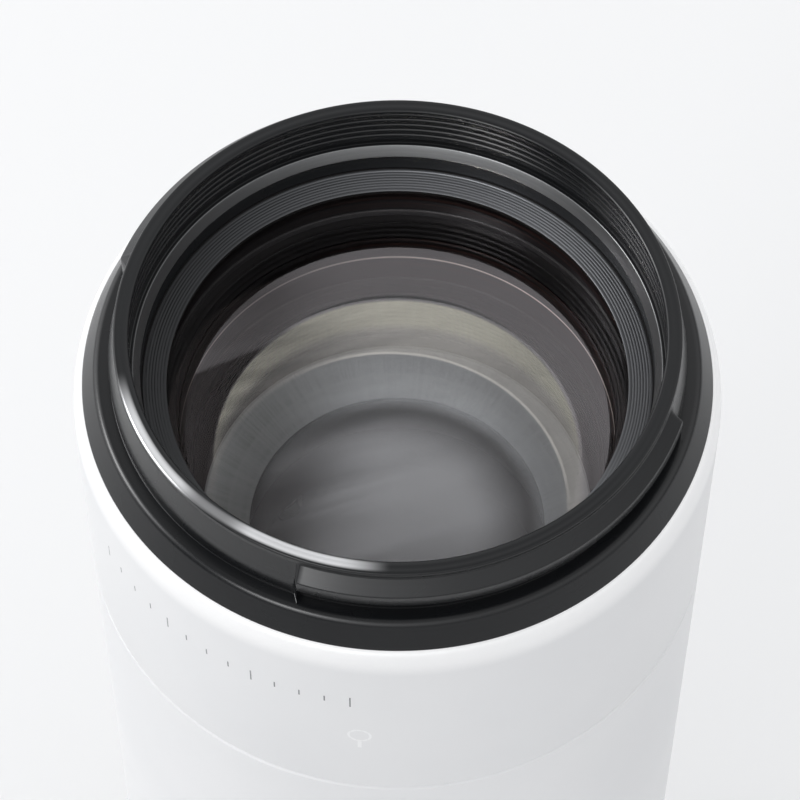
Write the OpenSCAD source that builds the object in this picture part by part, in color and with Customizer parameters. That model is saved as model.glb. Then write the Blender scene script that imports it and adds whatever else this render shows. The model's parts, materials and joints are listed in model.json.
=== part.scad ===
// Super telephoto zoom lens, bare of hood and caps, standing on its mount with the front element up.
// Origin: centre of the mount's flange face. +Z runs along the optical axis to the front rim,
// the lens's top faces -Y, its tripod foot +Y and its switch panel -X.

/* [Outer barrel] */
// Diameter of the white barrel
barrel_d = 99; // [96:0.5:103]
// Wall of the white barrel shells
shell_wall = 2.2; // [1.8:0.1:2.6]
// Length of the barrel between the zoom ring and the front seam
mid_len = 92.5; // [86:0.5:100]
// Length of the barrel in front of the seam
front_len = 41.57; // [38:0.01:46]
// Drop of the rounded front shoulder
shoulder_h = 4.1; // [3:0.1:5]
// How far the rounded front shoulder draws in
shoulder_in = 1.76; // [1.2:0.01:2.2]
// Depth of the chamfers that make the seam line
seam_chamfer = 0.5; // [0.2:0.1:0.8]

/* [Front ring] */
// Height of the black front ring above the barrel
front_ring_h = 12.73; // [12.3:0.01:15]
// How far the rim lies inside the white barrel's edge
rim_in = 6.98; // [6.5:0.01:7.4]
// Wall of the rim outside the crests of the filter thread
rim_wall = 1.92; // [1.5:0.01:2.2]
// Spacing of the thread's crests
thread_pitch = 1.3; // [1.1:0.1:1.6]
// Depth of the thread's grooves
thread_depth = 0.4; // [0.2:0.05:0.5]
// How far the hood lugs stand out from the rim
lug_out = 2.08; // [1.7:0.01:2.3]
// Height of a hood lug
lug_h = 2.2; // [1.6:0.1:2.6]
// Height of the slot under a hood lug
lug_slot_h = 3.1; // [2.6:0.1:3.4]
// Angle that each hood slot covers
lug_slot_angle = 103; // [80:1:110]
// Azimuth where the first hood slot starts
lug_slot_start = 252; // [240:1:265]

/* [Front lens group] */
// How far the front element's edge lies inside the thread's crests
glass_in = 4.1; // [3.8:0.1:4.6]
// Radius of curvature of the front surface
front_curve_r = 142; // [130:1:180]
// Middle thickness of the front element
front_glass_t = 11.5; // [10:0.1:12]
// Height of the front element's vertex above the barrel edge
front_vertex_up = 2; // [1.6:0.1:2.1]
// Radius of curvature of the front element's rear surface
front_back_curve_r = 600; // [500:10:900]
// How much smaller the second element's radius is
second_in = 2.5; // [2.1:0.1:3.5]
// Radius of curvature of the second element's front surface
second_curve_r = 400; // [350:10:500]
// Radius of curvature of the second element's hollow rear surface
second_back_curve_r = 200; // [180:5:260]
// Middle thickness of the second element
second_glass_t = 9; // [8:0.1:10]
// Gap between the front and second elements on the axis
front_air = 2.5; // [2:0.1:3]
// How far the ring that holds the front element laps over it
retainer_lap = 1.3; // [1.1:0.1:1.7]
// Thickness of that ring
retainer_t = 1.6; // [1.4:0.1:1.6]
// How far the front cell's baffle cone narrows
baffle_in = 7; // [5:0.5:9]

/* [Zoom barrels] */
// Gap between the white shells and the main barrel
shell_gap = 2.1; // [1.9:0.1:2.4]
// Wall of the main barrel
main_wall = 1.9; // [1.7:0.1:2]
// Wall of the cam barrel
cam_wall = 2; // [1.8:0.1:2.2]
// Wall of the guide barrel
guide_wall = 2; // [1.8:0.1:2.2]
// Turn of the zoom ring
zoom_angle = 90; // [80:1:95]
// Travel of the variator group
variator_travel = 36; // [30:1:38]
// Travel of the compensator group
compensator_travel = 24; // [20:1:26]
// Radius of a follower pin
follower_r = 2; // [1.8:0.1:2.2]

/* [Rings] */
// Length of the zoom ring
zoom_len = 50.1; // [48:0.1:54]
// Length of the focus ring
focus_len = 19.7; // [18:0.1:22]
// Length of the aperture ring
aperture_len = 15.4; // [13:0.1:17]
// Wall of the zoom and focus rings under their rubber
ring_wall = 2.2; // [2:0.1:2.4]
// Thickness of the ribbed rubber
grip_t = 1.5; // [1.2:0.1:1.7]
// Depth of the rubber's ribs
rib_depth = 0.7; // [0.4:0.1:0.9]
// Ribs round the zoom rubber
zoom_ribs = 72; // [48:4:84]
// Ribs round the focus rubber
focus_ribs = 96; // [60:4:108]
// How far the aperture ring lies inside the white barrel above it
aperture_in = 1; // [0.6:0.1:1.6]
// Ribs round the aperture ring
aperture_ribs = 60; // [40:4:72]

/* [Mount end] */
// Radius of the mount's flange
flange_r = 30.5; // [30:0.1:30.9]
// Thickness of the mount's flange
flange_t = 3; // [2.6:0.1:3.4]
// Outer radius of the bayonet spigot
spigot_r = 21.75; // [21.5:0.05:22]
// Wall of the bayonet spigot
spigot_wall = 1.55; // [1.3:0.05:1.7]
// Reach of the bayonet spigot behind the flange
spigot_len = 4.8; // [4.4:0.1:5.4]
// Outer radius of the three bayonet claws
claw_r = 23.6; // [23.2:0.1:24]
// Thickness of a bayonet claw
claw_t = 1.6; // [1.3:0.1:2]
// Angle that each claw covers
claw_angle = 50; // [40:1:60]
// Length of the black collar ahead of the flange
collar_len = 12; // [11:0.1:14]
// How far the black collar lies inside the aperture ring
collar_in = 1.5; // [1.1:0.1:2.5]
// Pitch circle radius of the mount screws
screw_circle_r = 27; // [26.6:0.1:27.4]
// Number of contact pads
pad_count = 10; // [6:1:10]

/* [Rear barrel] */
// How far the rear barrel lies inside the main barrel's bore
rear_in = 1.3; // [1.1:0.1:1.6]
// Width of the switch panel round the barrel
panel_w = 28; // [27:0.5:30]
// Spacing of the rows on the switch panel
row_pitch = 7.4; // [7:0.1:8]
// Travel of a slide switch
switch_travel = 4; // [3:0.1:4.4]
// Travel of a push button
button_travel = 0.5; // [0.4:0.1:0.6]
// Radius of a focus button
button_r = 4.6; // [4:0.1:5]
// Distance of the focus buttons ahead of the zoom ring
button_ahead = 10.3; // [9:0.1:14]

/* [Tripod mounting] */
// Width of the tripod collar along the barrel
tripod_w = 23.8; // [20:0.1:24.5]
// Wall of the tripod collar
tripod_wall = 4.2; // [3.8:0.1:4.9]
// Drop of the collar's pad for the foot
pad_drop = 8.5; // [8:0.1:12]
// Length of the foot's neck
foot_neck = 9; // [8.5:0.1:14]
// Thickness of the foot's plate
foot_t = 9; // [8.5:0.1:9.5]
// Width of the foot's plate
foot_w = 36; // [34:0.5:40]
// Length of the foot's plate
foot_len = 78; // [70:1:86]
// Radius of the small tripod thread
tripod_thread_small_r = 3.175; // [3.1:0.005:3.3]
// Radius of the large tripod thread
tripod_thread_large_r = 4.76; // [4.6:0.01:4.9]
// Depth of the tripod threads
tripod_thread_len = 7; // [6:0.1:8]
// Radius of the collar's lock knob
knob_r = 8.5; // [7.5:0.1:9.5]

/* [Iris] */
// Thickness of a blade
blade_t = 0.2; // [0.15:0.01:0.25]
// Rise from one blade to the next
blade_step = 0.35; // [0.3:0.01:0.4]
// How far the blade pivots lie inside the guide barrel's bore
blade_pivot_in = 7.6; // [7.2:0.1:8.2]
// Distance from a blade's pivot to its drive pin
blade_arm = 4; // [3.8:0.1:4.2]
// Turn of a blade from open to closed
blade_turn = 30; // [24:1:32]
// Radial width of a blade
blade_w = 6.3; // [6:0.1:6.6]
// Distance from the blades' outer edge out to their pivots
blade_pivot_out = 5.8; // [5.6:0.1:6.2]

/* [Stabiliser and focus] */
// Travel of the stabiliser each way
shift_travel = 1; // [0.8:0.1:1.2]
// How far the stabiliser's lens lies inside its housing's hole
shift_glass_in = 5; // [4.6:0.1:6]
// How far the focusing lens lies inside its guide rods
focus_glass_in = 9; // [8.6:0.1:10]
// Travel of the focusing group each way
focus_travel = 14; // [10:0.5:15]
// Radius of a focus guide rod
rod_r = 1.5; // [1.3:0.1:1.8]
// How far a guide rod lies inside the rear barrel's bore
rod_in = 6.6; // [6.3:0.1:7.2]
// Radius of the rear element
rear_glass_r = 14.8; // [14:0.1:15]

/* [Hidden] */
$fn = 96;

// Clearances and the overrun that every cut shares
play = 0.3;
fit = 0.08;
cut = 1;
fine_fn = 240;

// Colours
white_paint = [0.88, 0.89, 0.9];
black_metal = [0.09, 0.09, 0.1];
black_rubber = [0.12, 0.12, 0.12];
grey_metal = [0.4, 0.41, 0.42];
bright_metal = [0.75, 0.76, 0.78];
glass_tint = [0.45, 0.5, 0.55, 0.5];

// Stations along the optical axis
barrel_r = barrel_d / 2;
main_r = barrel_r - shell_wall - shell_gap;
collar_z = flange_t;
aperture_z = collar_z + collar_len + play;
rear_z = aperture_z + aperture_len + play;
base_flange_t = 2.6;
row_start = 4.8;
row_end = 6;
panel_len = row_start + 3 * row_pitch + row_end;
panel_ahead = 1.6;
panel_behind = 1.8;
shoulder_len = 2.6;
seat_len = tripod_w + 2 * play;
rear_len = panel_ahead + panel_len + panel_behind + shoulder_len + seat_len;
base_flange_z = rear_z + rear_len;
focus_z = base_flange_z + base_flange_t + play;
zoom_z = focus_z + focus_len + play;
mid_z = zoom_z + zoom_len + play;
seam_z = mid_z + mid_len;
edge_z = seam_z + front_len;
rim_z = edge_z + front_ring_h;

// Radii of the zoom barrels, from the main barrel inwards
main_r_in = main_r - main_wall;
cam_gap = 0.3;
cam_r = main_r_in - cam_gap;
cam_r_in = cam_r - cam_wall;
guide_gap = 0.4;
guide_r = cam_r_in - guide_gap;
guide_r_in = guide_r - guide_wall;
cell_r = guide_r_in - play;
rear_wall = 2.4;
rear_r = main_r_in - rear_in;
rear_r_in = rear_r - rear_wall;
ring_r_in = main_r + play;
ring_r = ring_r_in + ring_wall;

// Inner stack of the fixed parts
housing_z = base_flange_z + base_flange_t;
housing_len = 30;
guide_z = housing_z + housing_len;
guide_flange_t = 3;
seat_r = main_r_in - fit;
guide_below_seam = 2.2;
guide_top_z = seam_z - guide_below_seam;
cell_flange_t = 4;

// Turned solid of an outline of [radius, height] points
module turned(points) {
    rotate_extrude() polygon(points);
}

// Plain tube between two heights
module tube(r_out, r_in, z_low, z_high) {
    turned([[r_in, z_low], [r_out, z_low], [r_out, z_high], [r_in, z_high]]);
}

// Solid cylinder along the radius at an azimuth and height
module radial_pin(azimuth, z, r, from_r, to_r) {
    rotate([0, 0, azimuth]) translate([from_r, 0, z]) rotate([0, 90, 0])
        cylinder(r = r, h = to_r - from_r);
}

// Outline of a ribbed ring: trapezoid ribs round a circle
function rib_points(count, r_top, depth) = [
    for (i = [0:count - 1]) for (s = rib_shares)
        let (a = 360 * (i + s[0]) / count, r = r_top - depth * s[1]) [r * cos(a), r * sin(a)]
];
// Where a rib's corners lie: share of the pitch, share of the depth
rib_shares = [[0, 0], [0.55, 0], [0.65, 1], [0.9, 1]];

module ribbed_ring(count, r_top, depth, r_in, z_low, z_high) {
    translate([0, 0, z_low]) difference() {
        linear_extrude(z_high - z_low) polygon(rib_points(count, r_top, depth));
        translate([0, 0, -cut]) cylinder(r = r_in, h = z_high - z_low + 2 * cut, $fn = fine_fn);
    }
}

// Sector of a tube, from one azimuth on
module tube_sector(r_out, r_in, z_low, z_high, start, angle) {
    rotate([0, 0, start]) rotate_extrude(angle = angle)
        polygon([[r_in, z_low], [r_out, z_low], [r_out, z_high], [r_in, z_high]]);
}

/* Front ring: rim, filter thread, hood lugs and the bevel above the glass */
rim_r = barrel_r - rim_in;
thread_r = rim_r - rim_wall;
lug_r = rim_r + lug_out;
front_glass_r = thread_r - glass_in;
second_glass_r = front_glass_r - second_in;
retainer_r_in = front_glass_r - retainer_lap;
front_skirt_len = 9;
skirt_step = 0.6;
front_skirt_r = barrel_r - shell_wall - skirt_step;
front_bore_gap = 2.5;
front_bore_r = front_glass_r + front_bore_gap;
bevel_top = 4.2;
bevel_low = 2.6;
bevel_w = 1;
bevel_r = front_bore_r + bevel_w;
rim_round = 0.4;
flange_edge_w = 1.2;
flange_edge_r = lug_r + flange_edge_w;
flange_edge_h = 4.3;
slot_depth = 1.4;
slot_floor_r = lug_r - slot_depth;
rim_land = 0.6;
front_cell_wall = 3;
front_cell_r = front_glass_r + front_cell_wall;
front_cell_top = -0.6;

thread_crests = floor((front_ring_h - rim_land - bevel_top - fit) / thread_pitch);

// A groove's corners: share of the depth, share of the pitch
thread_shares = [[1, 0.25], [0, 0.5], [0, 1]];
// Inner outline of the thread, from the bevel up to the rim
thread_points = [
    for (i = [0:thread_crests - 1]) for (s = thread_shares)
        [thread_r + thread_depth * s[0],
         rim_z - rim_land - thread_pitch * (thread_crests - i - s[1])]
];

module front_ring() {
    color(black_metal) difference() {
        turned(concat(
            [[front_cell_r + fit, edge_z - front_skirt_len],
             [front_skirt_r, edge_z - front_skirt_len],
             [front_skirt_r, edge_z],
             [barrel_r - shoulder_in, edge_z],
             [flange_edge_r, edge_z + flange_edge_h],
             [lug_r, edge_z + flange_edge_h],
             [lug_r, edge_z + flange_edge_h + lug_slot_h + lug_h],
             [rim_r, edge_z + flange_edge_h + lug_slot_h + lug_h + (lug_r - rim_r)],
             [rim_r, rim_z - rim_round],
             [rim_r - rim_round, rim_z],
             [thread_r + thread_depth, rim_z]],
            [for (i = [len(thread_points) - 1:-1:0]) thread_points[i]],
            [[thread_r, edge_z + bevel_top],
             [bevel_r, edge_z + bevel_top],
             [front_bore_r, edge_z + bevel_low],
             [front_bore_r, edge_z + front_cell_top + fit],
             [front_cell_r + fit, edge_z + front_cell_top + fit]]));
        for (side = [0, 180])
            tube_sector(lug_r + cut, slot_floor_r, edge_z + flange_edge_h,
                        edge_z + flange_edge_h + lug_slot_h, lug_slot_start + side, lug_slot_angle);
    }
}

/* Front cell and its two elements */
front_vertex_z = edge_z + front_vertex_up;
front_back_z = front_vertex_z - front_glass_t;
second_vertex_z = front_back_z - front_air;
second_back_z = second_vertex_z - second_glass_t;
// Height that a spherical surface falls from its vertex to a radius
function sag(curve_r, r) = curve_r - sqrt(curve_r * curve_r - r * r);
front_seat_z = front_back_z + sag(front_back_curve_r, second_glass_r + fit);
second_seat_z = second_back_z - sag(second_back_curve_r, second_glass_r);
cell_lip = 1.4;
baffle_rise = 3;
baffle_cone_in = 3;
baffle_cone_r = second_glass_r - baffle_cone_in;
baffle_r = baffle_cone_r - baffle_in;
baffle_h = 4;
baffle_t = 1.2;

module front_cell() {
    lip_r = second_glass_r - cell_lip;
    retainer_z = edge_z + front_cell_top - retainer_t;
    flange_z = guide_top_z;
    baffle_z = flange_z + cell_flange_t + baffle_rise;
    tube_r = front_cell_r;
    color(black_metal) turned([
        [baffle_r, baffle_z - baffle_h],
        [baffle_r, baffle_z - baffle_h - baffle_t],
        [baffle_cone_r, flange_z],
        [seat_r, flange_z],
        [seat_r, flange_z + cell_flange_t],
        [tube_r, flange_z + cell_flange_t],
        [tube_r, edge_z + front_cell_top],
        [front_bore_r - fit, edge_z + front_cell_top],
        [front_bore_r - fit, retainer_z],
        [front_glass_r + fit, retainer_z],
        [front_glass_r + fit, front_seat_z],
        [second_glass_r + fit, front_seat_z],
        [second_glass_r + fit, second_seat_z],
        [lip_r, second_seat_z],
        [lip_r, second_seat_z - cell_lip],
        [baffle_cone_r, baffle_z]
    ]);
}

module retaining_ring() {
    low = edge_z + front_cell_top - retainer_t;
    r_out = front_bore_r - 2 * fit;
    color(grey_metal) turned([
        [retainer_r_in, low], [r_out, low], [r_out, low + retainer_t],
        [retainer_r_in, low + retainer_t + retainer_rise]]);
}
retainer_rise = 0.3;

module front_element() {
    color(glass_tint) intersection() {
        translate([0, 0, front_back_z - cut])
            cylinder(r = front_glass_r, h = front_glass_t + 2 * cut);
        translate([0, 0, front_vertex_z - front_curve_r])
            sphere(r = front_curve_r, $fn = fine_fn);
        translate([0, 0, front_back_z + front_back_curve_r])
            sphere(r = front_back_curve_r, $fn = 2 * fine_fn);
    }
}

module second_element() {
    color(glass_tint) difference() {
        intersection() {
            translate([0, 0, second_seat_z - cut])
                cylinder(r = second_glass_r, h = second_vertex_z - second_seat_z + 2 * cut);
            translate([0, 0, second_vertex_z - second_curve_r])
                sphere(r = second_curve_r, $fn = 2 * fine_fn);
        }
        translate([0, 0, second_back_z - second_back_curve_r])
            sphere(r = second_back_curve_r, $fn = fine_fn);
    }
}

/* White shells */
shell_r_in = barrel_r - shell_wall;
joint_flange_t = 4;

module front_barrel() {
    color(white_paint) turned(concat(
        [[main_r + fit, seam_z], [barrel_r - seam_chamfer, seam_z],
         [barrel_r, seam_z + seam_chamfer]],
        [for (s = shoulder_shares) [barrel_r - shoulder_in * s[0], edge_z - shoulder_h * s[1]]],
        [[front_skirt_r + fit, edge_z],
         [front_skirt_r + fit, edge_z - front_skirt_len - fit],
         [shell_r_in, edge_z - front_skirt_len - fit],
         [shell_r_in, seam_z + joint_flange_t],
         [main_r + fit, seam_z + joint_flange_t]]));
}
// Points on the rounded shoulder: share of the draw-in, share of the drop still to rise
shoulder_shares = [[0, 1], [0.12, 0.62], [0.36, 0.32], [0.66, 0.11], [1, 0]];

module mid_barrel() {
    button_z = mid_z + button_ahead;
    color(white_paint) difference() {
        turned([
            [main_r + fit, mid_z], [barrel_r - seam_chamfer, mid_z],
            [barrel_r, mid_z + seam_chamfer], [barrel_r, seam_z - seam_chamfer],
            [barrel_r - seam_chamfer, seam_z], [main_r + fit, seam_z],
            [main_r + fit, seam_z - joint_flange_t], [shell_r_in, seam_z - joint_flange_t],
            [shell_r_in, mid_z + shell_wall], [main_r + fit, mid_z + shell_wall]]);
        for (azimuth = button_azimuths)
            radial_pin(azimuth, button_z, button_r + play, shell_r_in - shell_wall, barrel_r + cut);
    }
}
button_azimuths = [45, 135, 225, 315];
button_flange = 1;
button_flange_t = 0.5;
button_proud = 0.6;
button_seat = 0.7;

module focus_button(azimuth) {
    z = mid_z + button_ahead;
    flange_top = shell_r_in - button_seat;
    color(black_rubber) union() {
        radial_pin(azimuth, z, button_r, flange_top - button_flange_t, barrel_r + button_proud);
        radial_pin(azimuth, z, button_r + button_flange, flange_top - button_flange_t, flange_top);
    }
}
module focus_button_1() { focus_button(button_azimuths[0]); }
module focus_button_2() { focus_button(button_azimuths[1]); }
module focus_button_3() { focus_button(button_azimuths[2]); }
module focus_button_4() { focus_button(button_azimuths[3]); }

/* Main barrel, which joins the rear barrel to the white shells */
key_w = 8;
key_len = 10;
key_rise = 5;
key_z = guide_z + guide_flange_t + key_rise;
key_azimuth = 30;
key_spare_angle = 8;

module main_barrel() {
    flange_top = base_flange_z + base_flange_t;
    color(black_metal) difference() {
        turned([
            [rear_r_in, base_flange_z], [tripod_r, base_flange_z], [tripod_r, flange_top],
            [main_r, flange_top], [main_r, seam_z + joint_flange_t / 2],
            [main_r_in, seam_z + joint_flange_t / 2], [main_r_in, flange_top],
            [rear_r_in, flange_top]]);
        tube_sector(main_r + cut, main_r_in - cut, key_z - play, key_z + key_len + play,
                    key_azimuth - key_spare_angle, zoom_angle + 2 * key_spare_angle);
    }
}

/* Guide barrel with straight slots for the follower pins */
variator_below_seam = 20.2;
compensator_ahead = 28;
variator_z = seam_z - variator_below_seam;
compensator_z = guide_z + compensator_ahead;
follower_azimuths = [0, 120, 240];
slot_play = 0.3;

module straight_slot(azimuth, z_low, z_high, half_w, r_in, r_out) {
    radial_pin(azimuth, z_low, half_w, r_in, r_out);
    radial_pin(azimuth, z_high, half_w, r_in, r_out);
    rotate([0, 0, azimuth]) translate([r_in, -half_w, z_low])
        cube([r_out - r_in, 2 * half_w, z_high - z_low]);
}

module guide_barrel() {
    half_w = follower_r + slot_play;
    color(black_metal) difference() {
        turned([
            [iris_seat_r, guide_z], [seat_r, guide_z], [seat_r, guide_z + guide_flange_t],
            [guide_r, guide_z + guide_flange_t], [guide_r, guide_top_z],
            [guide_r_in, guide_top_z], [guide_r_in, guide_z + guide_flange_t],
            [iris_seat_r, guide_z + guide_flange_t]]);
        for (azimuth = follower_azimuths) {
            straight_slot(azimuth, variator_z - variator_travel, variator_z, half_w,
                          guide_r_in - cut, guide_r + guide_gap / 2);
            straight_slot(azimuth, compensator_z, compensator_z + compensator_travel, half_w,
                          guide_r_in - cut, guide_r + guide_gap / 2);
        }
    }
}
iris_seat_w = 8.6;
iris_seat_r = guide_r_in - iris_seat_w;

/* Cam barrel: its slots follow a helix in straight steps */
cam_steps = 3;

module cam_slot(azimuth, z_start, z_end, half_w) {
    step = -zoom_angle / cam_steps;
    rise = (z_end - z_start) / cam_steps;
    mid_r = (cam_r + cam_r_in) / 2;
    chord = 2 * mid_r * sin(step / 2);
    low_r = cam_r_in * cos(step / 2) - play;
    high_r = cam_r + play;
    for (i = [0:cam_steps])
        radial_pin(azimuth + i * step, z_start + i * rise, half_w, low_r, high_r);
    for (i = [0:cam_steps - 1])
        rotate([0, 0, azimuth + (i + 0.5) * step])
            translate([(low_r + high_r) / 2, 0, z_start + (i + 0.5) * rise])
                rotate([atan(rise / chord), 0, 0])
                    cube([high_r - low_r, norm([chord, rise]), 2 * half_w], center = true);
}

module cam_barrel() {
    half_w = follower_r + slot_play;
    color(grey_metal) difference() {
        union() {
            tube(cam_r, cam_r_in, guide_z + guide_flange_t + play, guide_top_z - play);
            rotate([0, 0, key_azimuth]) translate([cam_r - cam_wall / 2, -key_w / 2, key_z])
                cube([ring_r_in + key_bite - cam_r + cam_wall / 2, key_w, key_len]);
        }
        for (azimuth = follower_azimuths) {
            cam_slot(azimuth, variator_z, variator_z - variator_travel, half_w);
            cam_slot(azimuth, compensator_z, compensator_z + compensator_travel, half_w);
        }
    }
}
key_bite = 1.1;

module zoom_ring() {
    color(black_metal) difference() {
        tube(ring_r, ring_r_in, zoom_z, zoom_z + zoom_len);
        rotate([0, 0, key_azimuth])
            translate([ring_r_in - cut, -key_w / 2 - play, key_z - play])
                cube([key_bite + cut + play, key_w + 2 * play, key_len + 2 * play]);
    }
}
grip_border = 2.5;

module zoom_grip() {
    color(black_rubber)
        ribbed_ring(zoom_ribs, ring_r + grip_t, rib_depth, ring_r,
                    zoom_z + grip_border, zoom_z + zoom_len - grip_border);
}

module focus_ring() {
    color(black_metal) tube(ring_r, ring_r_in, focus_z, focus_z + focus_len);
}

module focus_grip() {
    color(black_rubber)
        ribbed_ring(focus_ribs, ring_r + grip_t, rib_depth, ring_r,
                    focus_z + grip_border, focus_z + focus_len - grip_border);
}

/* Moving zoom groups */
cell_len = 16;
cell_rim = 2;
hub_wall = 2;
hub_len = 12;
web_t = 4;
follower_reach = 0.4;

module zoom_cell(z, glass_r, length) {
    color(black_metal) union() {
        turned([
            [glass_r + fit, z - hub_len / 2], [glass_r + hub_wall, z - hub_len / 2],
            [glass_r + hub_wall, z - web_t / 2], [cell_r - cell_rim, z - web_t / 2],
            [cell_r - cell_rim, z - length / 2], [cell_r, z - length / 2],
            [cell_r, z + length / 2], [cell_r - cell_rim, z + length / 2],
            [cell_r - cell_rim, z + web_t / 2], [glass_r + hub_wall, z + web_t / 2],
            [glass_r + hub_wall, z + hub_len / 2], [glass_r + fit, z + hub_len / 2]]);
        for (azimuth = follower_azimuths)
            radial_pin(azimuth, z, follower_r, cell_r - cell_rim / 2, cam_r - follower_reach);
    }
}

module biconvex(z, glass_r, thickness, curve_r) {
    color(glass_tint) intersection() {
        translate([0, 0, z - thickness]) cylinder(r = glass_r, h = 2 * thickness);
        translate([0, 0, z + thickness / 2 - curve_r]) sphere(r = curve_r, $fn = fine_fn);
        translate([0, 0, z - thickness / 2 + curve_r]) sphere(r = curve_r, $fn = fine_fn);
    }
}
variator_rim_w = 13.3;
variator_glass_r = cell_r - variator_rim_w;
variator_glass_t = 10;
variator_curve_r = 90;
compensator_rim_w = 14.3;
compensator_glass_r = cell_r - compensator_rim_w;
compensator_glass_t = 9;
compensator_curve_r = 80;
compensator_len = 12;

module variator_cell() { zoom_cell(variator_z, variator_glass_r, cell_len); }
module variator_lens() {
    biconvex(variator_z, variator_glass_r, variator_glass_t, variator_curve_r);
}
module compensator_cell() { zoom_cell(compensator_z, compensator_glass_r, compensator_len); }
module compensator_lens() {
    biconvex(compensator_z, compensator_glass_r, compensator_glass_t, compensator_curve_r);
}

/* Iris */
blade_count = 9;
blade_pivot_r = guide_r_in - blade_pivot_in;
blade_r_out = blade_pivot_r - blade_pivot_out;
blade_r_in = blade_r_out - blade_w;
iris_z = guide_z + guide_flange_t;
iris_floor_t = 2;
iris_wall = 2;
iris_h = 11;
iris_hole_in = 0.4;
iris_hole_r = blade_r_in - iris_hole_in;
blade_lift = 0.5;
blade_z = iris_z + iris_floor_t + blade_lift;
pivot_pin_r = 1;
drive_pin_r = 0.8;
drive_ring_t = 1.6;
drive_lift = 0.35;
drive_z = blade_z + blade_count * blade_step + drive_lift;
blade_span = 85;
blade_ear_r = 2.2;
blade_ear_w = 4.4;
blade_tail_angle = 4;
// The drive pin's place at rest, measured from the axis and from its pivot's azimuth
drive_pin_x = blade_pivot_r - blade_arm * cos(blade_turn / 2);
drive_pin_y = blade_arm * sin(blade_turn / 2);
drive_slot_play = 0.15;

module iris_housing() {
    r_out = guide_r_in - fit;
    color(black_metal) difference() {
        turned([
            [iris_hole_r, iris_z], [r_out, iris_z], [r_out, iris_z + iris_h],
            [r_out - iris_wall, iris_z + iris_h], [r_out - iris_wall, iris_z + iris_floor_t],
            [iris_hole_r, iris_z + iris_floor_t]]);
        for (i = [0:blade_count - 1])
            rotate([0, 0, i * 360 / blade_count]) translate([blade_pivot_r, 0, iris_z - cut])
                cylinder(r = pivot_pin_r + fit, h = iris_floor_t + 2 * cut);
    }
}

module iris_drive_ring() {
    slot_w = 2 * (drive_pin_r + drive_slot_play);
    slot_len = 2 * (drive_pin_r + play) + blade_arm * (1 - cos(blade_turn / 2));
    slot_turn = atan2(drive_pin_y, drive_pin_x);
    color(grey_metal) difference() {
        tube(guide_r_in - fit - iris_wall - play, iris_hole_r, drive_z, drive_z + drive_ring_t);
        for (i = [0:blade_count - 1])
            rotate([0, 0, i * 360 / blade_count + slot_turn])
                translate([blade_pivot_r - blade_arm - drive_pin_r - play, -slot_w / 2,
                           drive_z - cut])
                    cube([slot_len + play, slot_w, drive_ring_t + 2 * cut]);
    }
}

module iris_blade(i) {
    z = blade_z + i * blade_step;
    color(grey_metal) rotate([0, 0, i * 360 / blade_count]) union() {
        translate([0, 0, z]) linear_extrude(blade_t) union() {
            difference() {
                intersection() {
                    circle(r = blade_r_out);
                    polygon(sector_points(-blade_tail_angle, blade_span, 2 * blade_r_out));
                }
                circle(r = blade_r_in);
            }
            translate([blade_r_in + blade_ear_w / 2, -blade_ear_w / 2])
                square([blade_pivot_r - blade_r_in - blade_ear_w / 2, blade_ear_w]);
            translate([blade_pivot_r, 0]) circle(r = blade_ear_r);
        }
        translate([blade_pivot_r, 0, iris_z + play])
            cylinder(r = pivot_pin_r, h = z + blade_t - iris_z - play);
        translate([drive_pin_x, drive_pin_y, z])
            cylinder(r = drive_pin_r, h = drive_z + drive_ring_t - play - z);
    }
}
// Fan of points from the axis between two angles, at a reach
function sector_points(from, to, reach) = concat([[0, 0]],
    [for (i = [0:4]) let (a = from + (to - from) * i / 4) [reach * cos(a), reach * sin(a)]]);
module iris_blade_1() { iris_blade(0); }
module iris_blade_2() { iris_blade(1); }
module iris_blade_3() { iris_blade(2); }
module iris_blade_4() { iris_blade(3); }
module iris_blade_5() { iris_blade(4); }
module iris_blade_6() { iris_blade(5); }
module iris_blade_7() { iris_blade(6); }
module iris_blade_8() { iris_blade(7); }
module iris_blade_9() { iris_blade(8); }

/* Stabiliser: a frame slides along X on the housing, and the lens cell along Y on the frame */
housing_wall = 2;
housing_floor_t = 3;
frame_in = 6.72;
frame_r = seat_r - frame_in;
rail_in = 6.5;
rail_out = frame_r - rail_in;
rail_len = rail_out;
hole_land = 3;
housing_hole_r = rail_out - hole_land;
shift_glass_r = housing_hole_r - shift_glass_in;
rail_w = 4;
rail_h = 3;
rail_play = 0.1;
frame_t = 5;
shift_cell_in = 0.5;
shift_cell_r = frame_r - shift_cell_in;
shift_lens_t = 8;
shift_lens_curve_r = 70;
plate_gap = 1;
hub_drop = 0.5;
frame_low = housing_z + housing_floor_t + plate_gap;
frame_top = frame_low + frame_t;
shift_cell_low = frame_top + plate_gap;
shift_cell_top = shift_cell_low + frame_t;

module stabiliser_housing() {
    r_out = seat_r;
    floor_z = housing_z + housing_floor_t;
    color(black_metal) difference() {
        union() {
            turned([
                [housing_hole_r, housing_z], [r_out, housing_z], [r_out, guide_z],
                [r_out - housing_wall, guide_z], [r_out - housing_wall, floor_z],
                [housing_hole_r, floor_z]]);
            for (side = [-1, 1])
                translate([-rail_len / 2, side * (rail_out + rail_w / 2) - rail_w / 2,
                           floor_z - cut])
                    cube([rail_len, rail_w, rail_h + cut]);
        }
        for (azimuth = rod_azimuths)
            rotate([0, 0, azimuth]) translate([rod_out, 0, housing_z - cut])
                cylinder(r = rod_r + fit, h = housing_floor_t / 2 + cut);
    }
}
rod_azimuths = [45, 225];

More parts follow.
